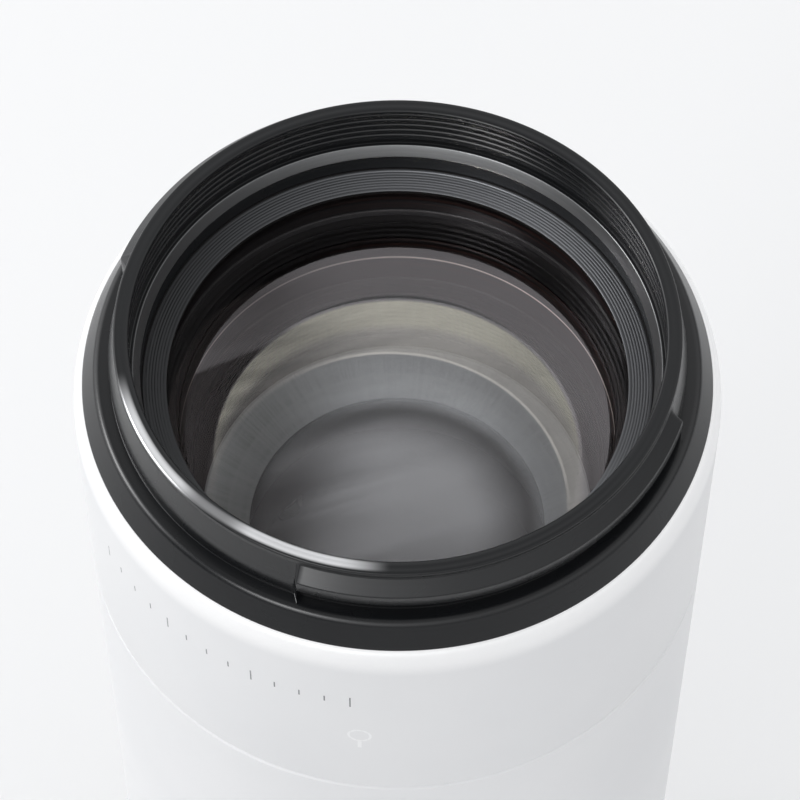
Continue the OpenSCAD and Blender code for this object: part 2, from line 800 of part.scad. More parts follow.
// Plate with a round hole and, below, grooves that ride on two rails
module rail_plate(r_out, r_in, low, along) {
    difference() {
        tube(r_out, r_in, low, low + frame_t);
        for (side = [-1, 1])
            rotate([0, 0, along])
                translate([-r_out - cut, side * (rail_out + rail_w / 2) - rail_w / 2 - rail_play,
                           low - cut])
                    cube([2 * (r_out + cut), rail_w + 2 * rail_play,
                          rail_h - plate_gap + rail_play + cut]);
    }
}

module stabiliser_frame() {
    color(grey_metal) union() {
        rail_plate(frame_r, housing_hole_r, frame_low, 0);
        for (side = [-1, 1])
            translate([side * (rail_out + rail_w / 2) - rail_w / 2, -rail_len / 2,
                       frame_top - cut])
                cube([rail_w, rail_len, rail_h + cut]);
    }
}

module stabiliser_cell() {
    hub_r = shift_glass_r + hub_wall;
    low = frame_low - hub_drop;
    color(black_metal) union() {
        rail_plate(shift_cell_r, shift_glass_r + fit, shift_cell_low, 90);
        tube(hub_r, shift_glass_r + fit, low, shift_cell_top + hub_wall);
    }
}

module stabiliser_lens() {
    biconvex((frame_low + shift_cell_top) / 2, shift_glass_r, shift_lens_t, shift_lens_curve_r);
}

/* Focusing group on its two rods */
rod_out = rear_r_in - rod_in;
focus_glass_r = rod_out - focus_glass_in;
rear_flange_z = 43;
rear_flange_t = 3;
rod_bury = 1.4;
carriage_t = 10;
carriage_back = 2;
carriage_z = (rear_flange_z + rear_flange_t + housing_z) / 2 - carriage_back;
boss_wall = 1.7;
focus_glass_t = 7;
focus_curve_r = 100;

module focus_guide_rods() {
    low = rear_flange_z + rear_flange_t - rod_bury;
    color(bright_metal) for (azimuth = rod_azimuths)
        rotate([0, 0, azimuth]) translate([rod_out, 0, low])
            cylinder(r = rod_r, h = housing_z + rod_bury - low);
}

module focus_carriage() {
    hub_r = focus_glass_r + hub_wall;
    low = carriage_z - carriage_t / 2;
    color(black_metal) difference() {
        union() {
            cylinder_at(hub_r, low, carriage_t);
            for (azimuth = rod_azimuths)
                rotate([0, 0, azimuth]) {
                    translate([0, -boss_wall, low])
                        cube([rod_out, 2 * boss_wall, carriage_t]);
                    translate([rod_out, 0, low])
                        cylinder(r = rod_r + boss_wall, h = carriage_t);
                }
        }
        cylinder_at(focus_glass_r + fit, low - cut, carriage_t + 2 * cut);
        for (azimuth = rod_azimuths)
            rotate([0, 0, azimuth]) translate([rod_out, 0, low - cut])
                cylinder(r = rod_r + fit, h = carriage_t + 2 * cut);
    }
}

module cylinder_at(r, z, h) {
    translate([0, 0, z]) cylinder(r = r, h = h);
}

module focus_lens() {
    biconvex(carriage_z, focus_glass_r, focus_glass_t, focus_curve_r);
}

/* Rear barrel, its switch panel and the aperture ring's collar */
rear_cone_h = 5;
rear_foot_in = 3.5;
rear_foot_r = rear_r - rear_foot_in;
seat_ring_out = 1;
seat_ring_r = rear_r + seat_ring_out;
shoulder_out = 3.5;
shoulder_r = seat_ring_r + shoulder_out;
shoulder_cone = 3;
sleeve_wall = 2.1;
aperture_wall = 4.1;
aperture_r = rear_foot_r - aperture_in;
sleeve_r = aperture_r - aperture_wall - play;
sleeve_r_in = sleeve_r - sleeve_wall;
panel_out = 1.4;
panel_face = rear_r + panel_out;
panel_plate = 2.4;
panel_z = rear_z + panel_ahead;
panel_depth = 4.6;
panel_back = panel_face - panel_depth;
panel_rim = 1.6;

module rear_barrel() {
    seat_z = base_flange_z - seat_len;
    color(white_paint) difference() {
        turned([
            [sleeve_r_in, rear_z], [rear_foot_r, rear_z], [rear_r, rear_z + rear_cone_h],
            [rear_r, seat_z - shoulder_len - shoulder_cone],
            [shoulder_r, seat_z - shoulder_len], [shoulder_r, seat_z],
            [seat_ring_r, seat_z], [seat_ring_r, base_flange_z], [rear_r_in, base_flange_z],
            [rear_r_in, rear_z + rear_cone_h], [rear_foot_r - rear_wall, rear_z + rear_wall],
            [sleeve_r_in, rear_z + rear_wall]]);
        translate([-shoulder_r - cut, -panel_w / 2 - fit, panel_z - fit])
            cube([shoulder_r + cut - panel_back + fit, panel_w + 2 * fit, panel_len + 2 * fit]);
    }
}

module switch_slot(row) {
    slot_w = switch_w + switch_travel + 2 * play;
    translate([-panel_face - cut, -slot_w / 2, row_z(row) - switch_h / 2 - play])
        cube([panel_plate + 2 * cut, slot_w, switch_h + 2 * play]);
}
function row_z(row) = panel_z + row_start + row * row_pitch;
switch_w = 4;
switch_h = 3.6;
switch_proud = 1.1;
switch_base_t = 0.8;
switch_base_over = 1;
set_r = 2.6;
set_flange = 0.7;

module switch_panel() {
    depth = panel_face - panel_back;
    color(black_metal) difference() {
        translate([-panel_face, -panel_w / 2, panel_z]) cube([depth, panel_w, panel_len]);
        translate([-panel_face + panel_plate, -panel_w / 2 + panel_rim, panel_z + panel_rim])
            cube([depth, panel_w - 2 * panel_rim, panel_len - 2 * panel_rim]);
        for (row = [0:2]) switch_slot(row);
        translate([-panel_face - cut, 0, row_z(3)]) rotate([0, 90, 0])
            cylinder(r = set_r + play, h = panel_plate + 2 * cut);
    }
}

// A slide switch rests at the low end of its slot
module slide_switch(row) {
    base_w = switch_w + 2 * switch_travel + 2 * switch_base_over;
    rest_y = -switch_travel / 2;
    back = -panel_face + panel_plate + rail_play;
    color(grey_metal) union() {
        translate([-panel_face - switch_proud, rest_y - switch_w / 2, row_z(row) - switch_h / 2])
            cube([switch_proud + panel_plate + rail_play + switch_base_t / 2, switch_w, switch_h]);
        translate([back, rest_y - base_w / 2, row_z(row) - switch_h / 2 - switch_base_over])
            cube([switch_base_t, base_w, switch_h + 2 * switch_base_over]);
    }
}
module stabiliser_switch() { slide_switch(0); }
module focus_range_switch() { slide_switch(1); }
module button_mode_switch() { slide_switch(2); }

module set_button() {
    back = -panel_face + panel_plate + rail_play;
    color(black_rubber) translate([0, 0, row_z(3)]) rotate([0, 90, 0]) union() {
        translate([0, 0, -panel_face - button_proud])
            cylinder(r = set_r, h = button_proud + panel_plate + rail_play + switch_base_t / 2);
        translate([0, 0, back]) cylinder(r = set_r + set_flange, h = switch_base_t);
    }
}

module aperture_ring() {
    color(black_metal)
        ribbed_ring(aperture_ribs, aperture_r, rib_depth, sleeve_r + play,
                    aperture_z, aperture_z + aperture_len);
}

/* Mount end */
claw_count = 3;
collar_floor_t = 2;
collar_r = aperture_r - collar_in;
collar_low_out = 1.9;
collar_low_r = flange_r + collar_low_out;
collar_bore_out = 1.25;
collar_bore_r = spigot_r + collar_bore_out;
gasket_w = 1.2;
gasket_lip = 0.3;
screw_r = 1;
screw_head_r = 2.2;
screw_head_t = 1.3;
screw_count = 4;
screw_azimuth = 45;

module rear_collar() {
    floor_top = collar_z + collar_floor_t;
    color(black_metal) difference() {
        turned([
            [collar_bore_r, collar_z], [collar_low_r, collar_z],
            [collar_r, collar_z + collar_len * collar_flare_share],
            [collar_r, collar_z + collar_len], [sleeve_r, collar_z + collar_len],
            [sleeve_r, rear_z], [sleeve_r_in, rear_z], [sleeve_r_in, floor_top],
            [collar_bore_r, floor_top]]);
        screw_holes(screw_r + fit, collar_z - cut, collar_floor_t + 2 * cut);
    }
}
collar_flare_share = 0.5;

module screw_holes(r, z, h) {
    for (i = [0:screw_count - 1])
        rotate([0, 0, screw_azimuth + i * 360 / screw_count])
            translate([screw_circle_r, 0, z]) cylinder(r = r, h = h);
}

module mount_ring() {
    spigot_in = spigot_r - spigot_wall;
    color(bright_metal) difference() {
        union() {
            turned([
                [spigot_in, -spigot_len], [spigot_r, -spigot_len], [spigot_r, 0],
                [flange_r, 0], [flange_r, flange_t], [spigot_in, flange_t]]);
            for (i = [0:claw_count - 1])
                tube_sector(claw_r, spigot_r - spigot_wall / 2, -spigot_len,
                            -spigot_len + claw_t, i * 360 / claw_count, claw_angle);
        }
        screw_holes(screw_r + fit, -cut, flange_t + 2 * cut);
        screw_holes(screw_head_r + fit, -cut, screw_head_t + cut);
    }
}

module mount_screws() {
    color(grey_metal) difference() {
        union() {
            screw_holes(screw_head_r, play, screw_head_t - play);
            screw_holes(screw_r, screw_head_t - play, flange_t + collar_floor_t - screw_head_t);
        }
        for (i = [0:screw_count - 1])
            rotate([0, 0, screw_azimuth + i * 360 / screw_count])
                translate([screw_circle_r, 0, 0])
                    for (turn = [0, 90]) rotate([0, 0, turn])
                        translate([-cross_len / 2, -cross_w / 2, -cut])
                            cube([cross_len, cross_w, cut + 2 * play]);
    }
}
cross_len = 2.4;
cross_w = 0.5;

module mount_gasket() {
    r_in = flange_r + fit;
    color(black_rubber) turned([
        [r_in, gasket_lip], [r_in + gasket_w, -gasket_lip], [r_in + gasket_w, flange_t],
        [r_in, flange_t]]);
}

/* Contacts, main board and rear cell */
rear_cell_wall = 1.8;
rear_cell_r = rear_glass_r + rear_cell_wall;
contact_angle = 64;
contact_azimuth = 58;
contact_low = 0.6;
pad_margin_angle = 4;
pad_r = 0.8;
pad_h = 0.3;
board_z = 16;
board_t = 1.4;
board_r_in = 18;
rear_cell_low = -3;
rear_flange_in = 2.6;
rear_flange_r = rear_r_in - rear_flange_in;
stop_flange_t = 2;
rear_lip = 1.2;
rear_glass_z = 4;
rear_glass_t = 5;

module contact_block() {
    color(black_metal)
        tube_sector(spigot_r - spigot_wall - fit, rear_cell_r + fit, -spigot_len + contact_low,
                    flange_t, contact_azimuth, contact_angle);
}

module contact_pads() {
    mid_r = (spigot_r - spigot_wall + rear_cell_r) / 2;
    step = (contact_angle - 2 * pad_margin_angle) / (pad_count - 1);
    color("goldenrod") for (i = [0:pad_count - 1])
        rotate([0, 0, contact_azimuth + pad_margin_angle + i * step])
            translate([mid_r, 0, -spigot_len + contact_low - pad_h])
                cylinder(r = pad_r, h = pad_h);
}

module rear_cell() {
    floor_z = collar_z + collar_floor_t;
    bore = rear_glass_r + fit;
    color(black_metal) difference() {
        turned([
            [bore, rear_cell_low], [rear_cell_r, rear_cell_low], [rear_cell_r, floor_z],
            [sleeve_r_in - play, floor_z], [sleeve_r_in - play, floor_z + stop_flange_t],
            [rear_cell_r, floor_z + stop_flange_t], [rear_cell_r, board_z - stop_flange_t],
            [sleeve_r_in - play, board_z - stop_flange_t], [sleeve_r_in - play, board_z],
            [rear_cell_r, board_z], [rear_cell_r, rear_flange_z], [rear_flange_r, rear_flange_z],
            [rear_flange_r, rear_flange_z + rear_flange_t],
            [rear_cell_r - rear_lip, rear_flange_z + rear_flange_t],
            [rear_cell_r - rear_lip, rear_glass_z + rear_glass_t + stop_flange_t],
            [bore - rear_lip, rear_glass_z + rear_glass_t + stop_flange_t],
            [bore - rear_lip, rear_glass_z + rear_glass_t],
            [bore, rear_glass_z + rear_glass_t]]);
        for (azimuth = rod_azimuths)
            rotate([0, 0, azimuth])
                translate([rod_out, 0, rear_flange_z + rear_flange_t - rod_bury])
                    cylinder(r = rod_r + fit, h = rod_bury + cut);
    }
}

module rear_element() {
    color(glass_tint) intersection() {
        translate([0, 0, rear_glass_z]) cylinder(r = rear_glass_r, h = rear_glass_t);
        translate([0, 0, rear_glass_z + rear_curve_r]) sphere(r = rear_curve_r, $fn = fine_fn);
    }
}
rear_curve_r = 120;

module main_board() {
    color("darkgreen") tube(sleeve_r_in - 2 * play, board_r_in, board_z, board_z + board_t);
}

/* Tripod collar, foot and knobs */
tripod_r = seat_ring_r + play + tripod_wall;
collar_low_z = base_flange_z - seat_len + play;
collar_mid_z = collar_low_z + tripod_w / 2;
pad_w = 30;
pad_out = tripod_r + pad_drop;
plate_y = pad_out + foot_neck;
foot_drop = plate_y + foot_t;
lug_boss_r = 6;
boss_rise = 5.5;
lug_boss_out = tripod_r + boss_rise;
knob_shaft_r = 2;
knob_len = 9;
knob_ribs = 18;
knob_rib_depth = 0.6;
knob_gap = 0.3;
knob_bury = 5;
foot_neck_y = pad_out + foot_neck / 2;
foot_back = 8;
dovetail_in = 2.4;
foot_knob_r = foot_neck / 2 - play;
foot_knob_len = 7;
thread_gap = 20;

module tripod_collar() {
    color(white_paint) difference() {
        union() {
            tube(tripod_r, seat_ring_r + play, collar_low_z, collar_low_z + tripod_w);
            translate([-pad_w / 2, 0, collar_low_z]) cube([pad_w, pad_out, tripod_w]);
            translate([0, 0, collar_mid_z]) rotate([0, 90, 0])
                cylinder(r = lug_boss_r, h = lug_boss_out);
        }
        cylinder_at(seat_ring_r + play, collar_low_z - cut, tripod_w + 2 * cut);
        translate([lug_boss_out - knob_bury, 0, collar_mid_z]) rotate([0, 90, 0])
            cylinder(r = knob_shaft_r + fit, h = knob_bury + cut);
    }
}

module ribbed_knob(r, length, shaft_len, ribs) {
    union() {
        linear_extrude(length) polygon(rib_points(ribs, r, knob_rib_depth));
        translate([0, 0, -shaft_len]) cylinder(r = knob_shaft_r, h = shaft_len + cut);
    }
}

module collar_knob() {
    color(black_metal) translate([lug_boss_out + knob_gap, 0, collar_mid_z]) rotate([0, 90, 0])
        ribbed_knob(knob_r, knob_len, knob_bury, knob_ribs);
}

module tripod_foot() {
    plate_z = collar_low_z - foot_back;
    color(white_paint) difference() {
        union() {
            translate([-pad_w / 2, pad_out, collar_low_z])
                cube([pad_w, foot_neck + cut, tripod_w]);
            translate([0, plate_y, plate_z]) linear_extrude(foot_len) polygon([
                [-foot_w / 2, 0], [foot_w / 2, 0], [foot_w / 2, foot_t / 3],
                [foot_w / 2 - dovetail_in, foot_t * 2 / 3], [foot_w / 2, foot_t],
                [-foot_w / 2, foot_t], [-foot_w / 2 + dovetail_in, foot_t * 2 / 3],
                [-foot_w / 2, foot_t / 3]]);
        }
        translate([0, foot_drop + cut, plate_z + foot_len / 2 - thread_gap / 2])
            rotate([90, 0, 0])
                cylinder(r = tripod_thread_small_r, h = tripod_thread_len + cut);
        translate([0, foot_drop + cut, plate_z + foot_len / 2 + thread_gap / 2])
            rotate([90, 0, 0])
                cylinder(r = tripod_thread_large_r, h = tripod_thread_len + cut);
        translate([-pad_w / 2 + knob_bury, foot_neck_y, collar_mid_z]) rotate([0, -90, 0])
            cylinder(r = knob_shaft_r + fit, h = knob_bury + cut);
    }
}

module foot_knob() {
    color(black_metal) translate([-pad_w / 2 - knob_gap, foot_neck_y, collar_mid_z])
        rotate([0, -90, 0]) ribbed_knob(foot_knob_r, foot_knob_len, knob_bury, knob_ribs);
}

front_ring();
retaining_ring();
front_element();
second_element();
front_cell();
front_barrel();
mid_barrel();
main_barrel();
guide_barrel();
rear_barrel();
switch_panel();
rear_collar();
mount_ring();
mount_screws();
mount_gasket();
contact_block();
contact_pads();
main_board();
rear_cell();
rear_element();
iris_housing();
stabiliser_housing();
focus_guide_rods();
zoom_ring();
zoom_grip();
cam_barrel();
variator_cell();
variator_lens();
compensator_cell();
compensator_lens();
focus_ring();
focus_grip();
focus_carriage();
focus_lens();
stabiliser_frame();
stabiliser_cell();
stabiliser_lens();
iris_drive_ring();
iris_blade_1();
iris_blade_2();
iris_blade_3();
iris_blade_4();
iris_blade_5();
iris_blade_6();
iris_blade_7();
iris_blade_8();
iris_blade_9();
aperture_ring();
focus_button_1();
focus_button_2();
focus_button_3();
focus_button_4();
set_button();
stabiliser_switch();
focus_range_switch();
button_mode_switch();
tripod_collar();
collar_knob();
tripod_foot();
foot_knob();
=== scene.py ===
"""Dressed model of a white super telephoto zoom lens, standing on its mount with the front element up.

Lengths are written in millimetres from the mount's flange face and turned into metres as a piece is made.
Finishes and the studio are written in metres. Azimuths are in degrees from +X towards +Y; the lens's top faces -Y.
"""
import json
import logging
import math
from dataclasses import dataclass
from enum import Enum
from typing import Any, Callable, Iterable, Sequence

import bmesh
import bpy
from mathutils import Matrix, Vector


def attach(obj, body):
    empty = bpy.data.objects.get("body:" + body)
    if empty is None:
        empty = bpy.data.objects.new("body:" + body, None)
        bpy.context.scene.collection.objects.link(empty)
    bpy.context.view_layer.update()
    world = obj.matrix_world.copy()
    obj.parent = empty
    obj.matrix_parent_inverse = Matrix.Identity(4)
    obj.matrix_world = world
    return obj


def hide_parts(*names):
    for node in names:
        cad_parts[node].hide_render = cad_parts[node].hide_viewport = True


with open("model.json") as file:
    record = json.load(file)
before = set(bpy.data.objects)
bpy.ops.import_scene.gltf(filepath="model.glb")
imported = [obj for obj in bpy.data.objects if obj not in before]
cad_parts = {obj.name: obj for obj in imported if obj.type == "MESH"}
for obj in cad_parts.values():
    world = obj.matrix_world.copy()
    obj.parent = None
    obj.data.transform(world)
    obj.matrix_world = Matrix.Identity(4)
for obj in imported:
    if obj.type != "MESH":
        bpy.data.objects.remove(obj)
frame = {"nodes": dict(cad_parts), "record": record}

log = logging.getLogger("lens")
MM = 0.001
WELD = 1e-6  # Points nearer than this are merged, in metres.
Span = tuple[float, float]
Ramp = tuple[float, float, float, float]
Outline = list[Span]
Colour = tuple[float, float, float]
Piece = bpy.types.Object
FaceTest = Callable[[Vector, Vector], bool]


class Toward(Enum):
    """The way that a piece turned round Z faces once it is laid in place."""

    LEFT = (-1.0, 0.0, 0.0)
    RIGHT = (1.0, 0.0, 0.0)
    FOOT = (0.0, 1.0, 0.0)

    def matrix(self, x: float, y: float, z: float) -> Matrix:
        """A frame at a point in millimetres whose Z axis faces this way."""
        turn = Vector(self.value).to_track_quat("Z", "Y").to_matrix().to_4x4()
        return Matrix.Translation((x * MM, y * MM, z * MM)) @ turn


class Face(Enum):
    """The faces of a lens element, in the order of its material slots."""

    FRONT = 0
    EDGE = 1
    BACK = 2


# Shader graphs


class Wire:
    """A value in a material's graph, with arithmetic that adds the nodes it needs."""

    def __init__(self, graph: "Graph", socket: Any) -> None:
        """Keeps the graph and the output socket."""
        self.graph = graph
        self.socket = socket

    def _math(self, operation: str, first: Any, second: Any = None) -> "Wire":
        """Adds one Math node.

        Args:
            operation: The Math node's operation.
            first: Wire or number for the first input.
            second: Wire or number for the second input.

        Returns:
            The node's result.
        """
        values = {i: v for i, v in enumerate((first, second)) if v is not None}
        return self.graph.node("ShaderNodeMath", {"operation": operation}, values)

    def __add__(self, other: Any) -> "Wire":
        """Sum."""
        return self._math("ADD", self, other)

    def __radd__(self, other: Any) -> "Wire":
        """Sum with a number first."""
        return self._math("ADD", other, self)

    def __sub__(self, other: Any) -> "Wire":
        """Difference."""
        return self._math("SUBTRACT", self, other)

    def __rsub__(self, other: Any) -> "Wire":
        """Difference with a number first."""
        return self._math("SUBTRACT", other, self)

    def __mul__(self, other: Any) -> "Wire":
        """Product."""
        return self._math("MULTIPLY", self, other)

    def __rmul__(self, other: Any) -> "Wire":
        """Product with a number first."""
        return self._math("MULTIPLY", other, self)

    def squared(self) -> "Wire":
        """Its square."""
        return self * self

    def root(self) -> "Wire":
        """Square root."""
        return self._math("SQRT", self)

    def atan2(self, other: "Wire") -> "Wire":
        """Angle of a point whose first coordinate is the other wire."""
        return self._math("ARCTAN2", self, other)

    def ramp(self, start: float, end: float, low: float = 0.0, high: float = 1.0) -> "Wire":
        """Smooth step between two values.

        Args:
            start: Value at which the result is low.
            end: Value at which the result is high.
            low: Result at the start.
            high: Result at the end.

        Returns:
            The stepped value.
        """
        return self.graph.node(
            "ShaderNodeMapRange", {"interpolation_type": "SMOOTHSTEP", "clamp": True},
            {"Value": self, "From Min": start, "From Max": end, "To Min": low, "To Max": high})


class Graph:
    """The node tree of one material or world."""

    def __init__(self, name: str, world: bool = False) -> None:
        """Starts an empty material or world with its output node.

        Args:
            name: Its name.
            world: Whether it is a world.
        """
        self.owner = (bpy.data.worlds if world else bpy.data.materials).new(name)
        self.owner.use_nodes = True
        self.tree = self.owner.node_tree
        self.tree.nodes.clear()
        self.output = self.tree.nodes.new("ShaderNodeOutputWorld" if world else "ShaderNodeOutputMaterial")

    def node(self, kind: str, settings: dict[str, Any] | None = None,
             values: dict[Any, Any] | None = None, output: Any = 0) -> Wire:
        """Adds a node of any type.

        Args:
            kind: The node's type.
            settings: Properties that are set first.
            values: Numbers, colours or wires for its inputs, by name or place.
            output: Name or place of the output that is returned.

        Returns:
            The chosen output.
        """
        made = self.tree.nodes.new(kind)
        for key, value in (settings or {}).items():
            setattr(made, key, value)
        for key, value in (values or {}).items():
            socket = made.inputs[key]
            if isinstance(value, Wire):
                self.tree.links.new(value.socket, socket)
            elif isinstance(value, tuple) and len(value) == 3 and socket.type == "RGBA":
                socket.default_value = (*value, 1.0)
            else:
                socket.default_value = value
        return Wire(self, made.outputs[output])

    def place(self) -> Wire:
        """The point on the piece, in metres."""
        return self.node("ShaderNodeTexCoord", output="Object")

    def parts(self, vector: Wire) -> tuple[Wire, Wire, Wire]:
        """The three numbers of a vector."""
        split = self.node("ShaderNodeSeparateXYZ", values={0: vector}).socket.node
        return tuple(Wire(self, out) for out in split.outputs)

    def vector(self, x: Any, y: Any, z: Any) -> Wire:
        """A vector of three numbers or wires."""
        return self.node("ShaderNodeCombineXYZ", values={0: x, 1: y, 2: z})

    def noise(self, point: Wire, scale: float, detail: float = 2.0, roughness: float = 0.5) -> Wire:
        """Noise from 0 to 1 at a point.

        Args:
            point: Where it is read.
            scale: Features for each unit of the point.
            detail: Octaves of detail.
            roughness: Weight of the finer octaves.

        Returns:
            The noise value.
        """
        return self.node("ShaderNodeTexNoise", {}, {
            "Vector": point, "Scale": scale, "Detail": detail, "Roughness": roughness})

    def blend(self, share: Any, first: Any, second: Any) -> Wire:
        """Mix of two colours.

        Args:
            share: How much of the second colour shows.
            first: The first colour.
            second: The second colour.

        Returns:
            The mixed colour.
        """
        return self.node("ShaderNodeMix", {"data_type": "RGBA"},
                         {0: share, 6: first, 7: second}, output=2)

    def relief(self, height: Wire, depth: float) -> Wire:
        """A bump that feeds a shader's Normal.

        Args:
            height: Height from 0 to 1.
            depth: What a height of 1 stands for, in metres.

        Returns:
            The bent normal.
        """
        return self.node("ShaderNodeBump", {}, {"Height": height, "Distance": depth, "Strength": 1.0})

    def surface(self, **values: Any) -> bpy.types.Material:
        """Ends the graph in a Principled shader.

        Args:
            **values: Inputs of the shader, with underscores for spaces.

        Returns:
            The finished material.
        """
        named = {key.replace("_", " "): value for key, value in values.items()}
        shader = self.node("ShaderNodeBsdfPrincipled", {}, named)
        self.tree.links.new(shader.socket, self.output.inputs["Surface"])
        return self.owner


# Finishes

NOISE_SPAN = (0.3, 0.7)  # Most of a noise's values lie in here.
RINGS_SHARE = 0.6  # Weight of the lathe's rings in a turned finish's tone, against the slow drift.


@dataclass(frozen=True)
class Finish:
    """A solid finish whose tone and gloss drift a little over a fine grain."""

    name: str
    colour: Colour
    drift: Colour
    roughness: float
    gloss_drift: float = 0.05
    metallic: float = 0.0
    grain: float = 1500.0
    grain_depth: float = 0.00002
    patch: float = 40.0
    specular: float = 0.5

    def build(self) -> bpy.types.Material:
        """The finish's material, made once and shared."""
        ready = bpy.data.materials.get(self.name)
        return ready if ready else self.paint(Graph(self.name))

    def slow(self, graph: Graph) -> Wire:
        """The slow noise that tone and gloss follow."""
        return graph.noise(graph.place(), self.patch, 3.0)

    def gloss(self, drift: Wire) -> dict[str, Any]:
        """The shader's gloss inputs for a slow noise."""
        return {"Specular_IOR_Level": self.specular,
                "Roughness": self.roughness + (drift - 0.5) * (2 * self.gloss_drift)}

    def tone(self, graph: Graph, drift: Wire) -> Wire:
        """The colour for a slow noise."""
        return graph.blend(drift.ramp(*NOISE_SPAN), self.colour, self.drift)

    def grained(self, graph: Graph) -> Wire:
        """The normal of the fine grain."""
        return graph.relief(graph.noise(graph.place(), self.grain, 2.0), self.grain_depth)

    def paint(self, graph: Graph) -> bpy.types.Material:
        """Fills a graph with the finish.

        Args:
            graph: The empty graph.

        Returns:
            The finished material.
        """
        drift = self.slow(graph)
        return graph.surface(Base_Color=self.tone(graph, drift), Metallic=self.metallic,
                             Normal=self.grained(graph), **self.gloss(drift))


@dataclass(frozen=True)
class ShoulderHighlightFinish(Finish):
    """A satin paint with a painted highlight over the barrel's rounded shoulder: its colour turns lighter there, and
    a clear coat makes it glossier.
    """

    start_z: float = 0.2965
    end_z: float = 0.3000
    # Colour of the painted highlight on the shoulder.
    light: Colour = (0.985, 0.986, 0.99)
    coat_roughness: float = 0.3

    def paint(self, graph: Graph) -> bpy.types.Material:
        """Fills a graph with the finish.

        Args:
            graph: The empty graph.

        Returns:
            The finished material.
        """
        drift = self.slow(graph)
        # How much of the painted highlight and the coat shows, rising over the shoulder.
        share = graph.parts(graph.place())[2].ramp(self.start_z, self.end_z)
        return graph.surface(
            Base_Color=graph.blend(share, self.tone(graph, drift), self.light), Coat_Weight=share,
            Coat_Roughness=self.coat_roughness, Normal=self.grained(graph), **self.gloss(drift))


@dataclass(frozen=True)
class TurnedFinish(Finish):
    """A finish with the fine rings that a lathe leaves round the axis.

    Painted shade can deepen its tone towards the object's left and right sides, and radial sets how many rays cross
    the rings.
    """

    lines: float = 2500.0
    line_depth: float = 0.00001
    radial: float = 0.0
    ray_length: float = 60.0
    ray_span: Span = (0.35, 0.65)
    ray_tone: float = 0.8
    ray_height: float = 0.6
    left_painted_shade: float = 1.0
    right_painted_shade: float = 1.0
    # Spans of x over which the painted shade sets in at the left and at the right.
    left_x: Span = (-0.040, 0.012)
    right_x: Span = (0.020, 0.038)

    def turning(self, graph: Graph) -> tuple[Wire, Wire, Wire, Wire, Wire, Wire]:
        """The parts that every turned finish shares.

        Args:
            graph: The graph that they are added to.

        Returns:
            The place's x, azimuth in radians and distance from the axis, then the rings, the slow noise and the tone.
        """
        x, y, z = graph.parts(graph.place())
        out = (x.squared() + y.squared()).root()
        rings = graph.noise(graph.vector(out * self.lines, 0.0, z * self.lines), 1.0, 2.0)
        drift = self.slow(graph)
        mixed = rings.ramp(*NOISE_SPAN) * RINGS_SHARE + drift * (1.0 - RINGS_SHARE)
        return x, y.atan2(x), out, rings, drift, graph.blend(mixed, self.colour, self.drift)

    def paint(self, graph: Graph) -> bpy.types.Material:
        """Fills a graph with the finish.

        Args:
            graph: The empty graph.

        Returns:
            The finished material.
        """
        x, turn, out, height, drift, tone = self.turning(graph)
        # Painted shade: the tone darkens towards the object's left and right sides.
        if self.left_painted_shade < 1.0:
            for side, share in ((x.ramp(*self.left_x, 1.0, 0.0), self.left_painted_shade),
                                (x.ramp(*self.right_x), self.right_painted_shade)):
                tone = graph.blend(side, tone, tuple(part * share for part in self.colour))
        if self.radial:
            rays = graph.noise(graph.vector(turn * self.radial, out * self.ray_length, 0.0), 1.0, 3.0)
            tone = graph.blend(rays.ramp(*self.ray_span) * self.ray_tone, tone, self.drift)
            height = height * (1.0 - self.ray_height) + rays * self.ray_height
        return graph.surface(Base_Color=tone, Metallic=self.metallic,
                             Normal=graph.relief(height, self.line_depth), **self.gloss(drift))


@dataclass(frozen=True)
class PaintedHighlightRim(TurnedFinish):
    """The rim's black top with a painted highlight, light and mirror-like, along a stretch that moves inwards as it
    goes round.

    The stretch's radii and half width are in millimetres and its azimuths in degrees, and it pauses at the gap.
    """

    # Colour of the painted highlight.
    highlight_colour: Colour = (0.98, 0.985, 1.0)
    bright: float = 0.85
    start_r: float = 41.9
    end_r: float = 41.25
    half_w: float = 0.95
    inwards: Span = (-148.0, -114.0)
    fade_in: Span = (-169.0, -155.0)
    fade_out: Span = (-103.0, -91.0)
    gap: float = -130.0
    gap_reach: Span = (2.0, 10.0)
    gap_left: float = 0.25

    def paint(self, graph: Graph) -> bpy.types.Material:
        """Fills a graph with the finish.

        Args:
            graph: The empty graph.

        Returns:
            The finished material.
        """
        _, turn, out, rings, drift, tone = self.turning(graph)
        turn = turn * math.degrees(1.0)
        middle = turn.ramp(*self.inwards, self.start_r * MM, self.end_r * MM)
        # The painted highlight: a band round a radius that moves inwards, fading in and out and dimmer at the gap.
        painted_highlight = (out - middle).squared().ramp(0.0, (self.half_w * MM) ** 2, self.bright, 0.0)
        painted_highlight = painted_highlight * turn.ramp(*self.fade_in) * turn.ramp(*self.fade_out, 1.0, 0.0)
        near, far = self.gap_reach
        painted_highlight = painted_highlight * (turn - self.gap).squared().ramp(near ** 2, far ** 2, self.gap_left, 1.0)
        return graph.surface(Base_Color=graph.blend(painted_highlight, tone, self.highlight_colour), Metallic=painted_highlight,
                             Normal=graph.relief(rings, self.line_depth), **self.gloss(drift))


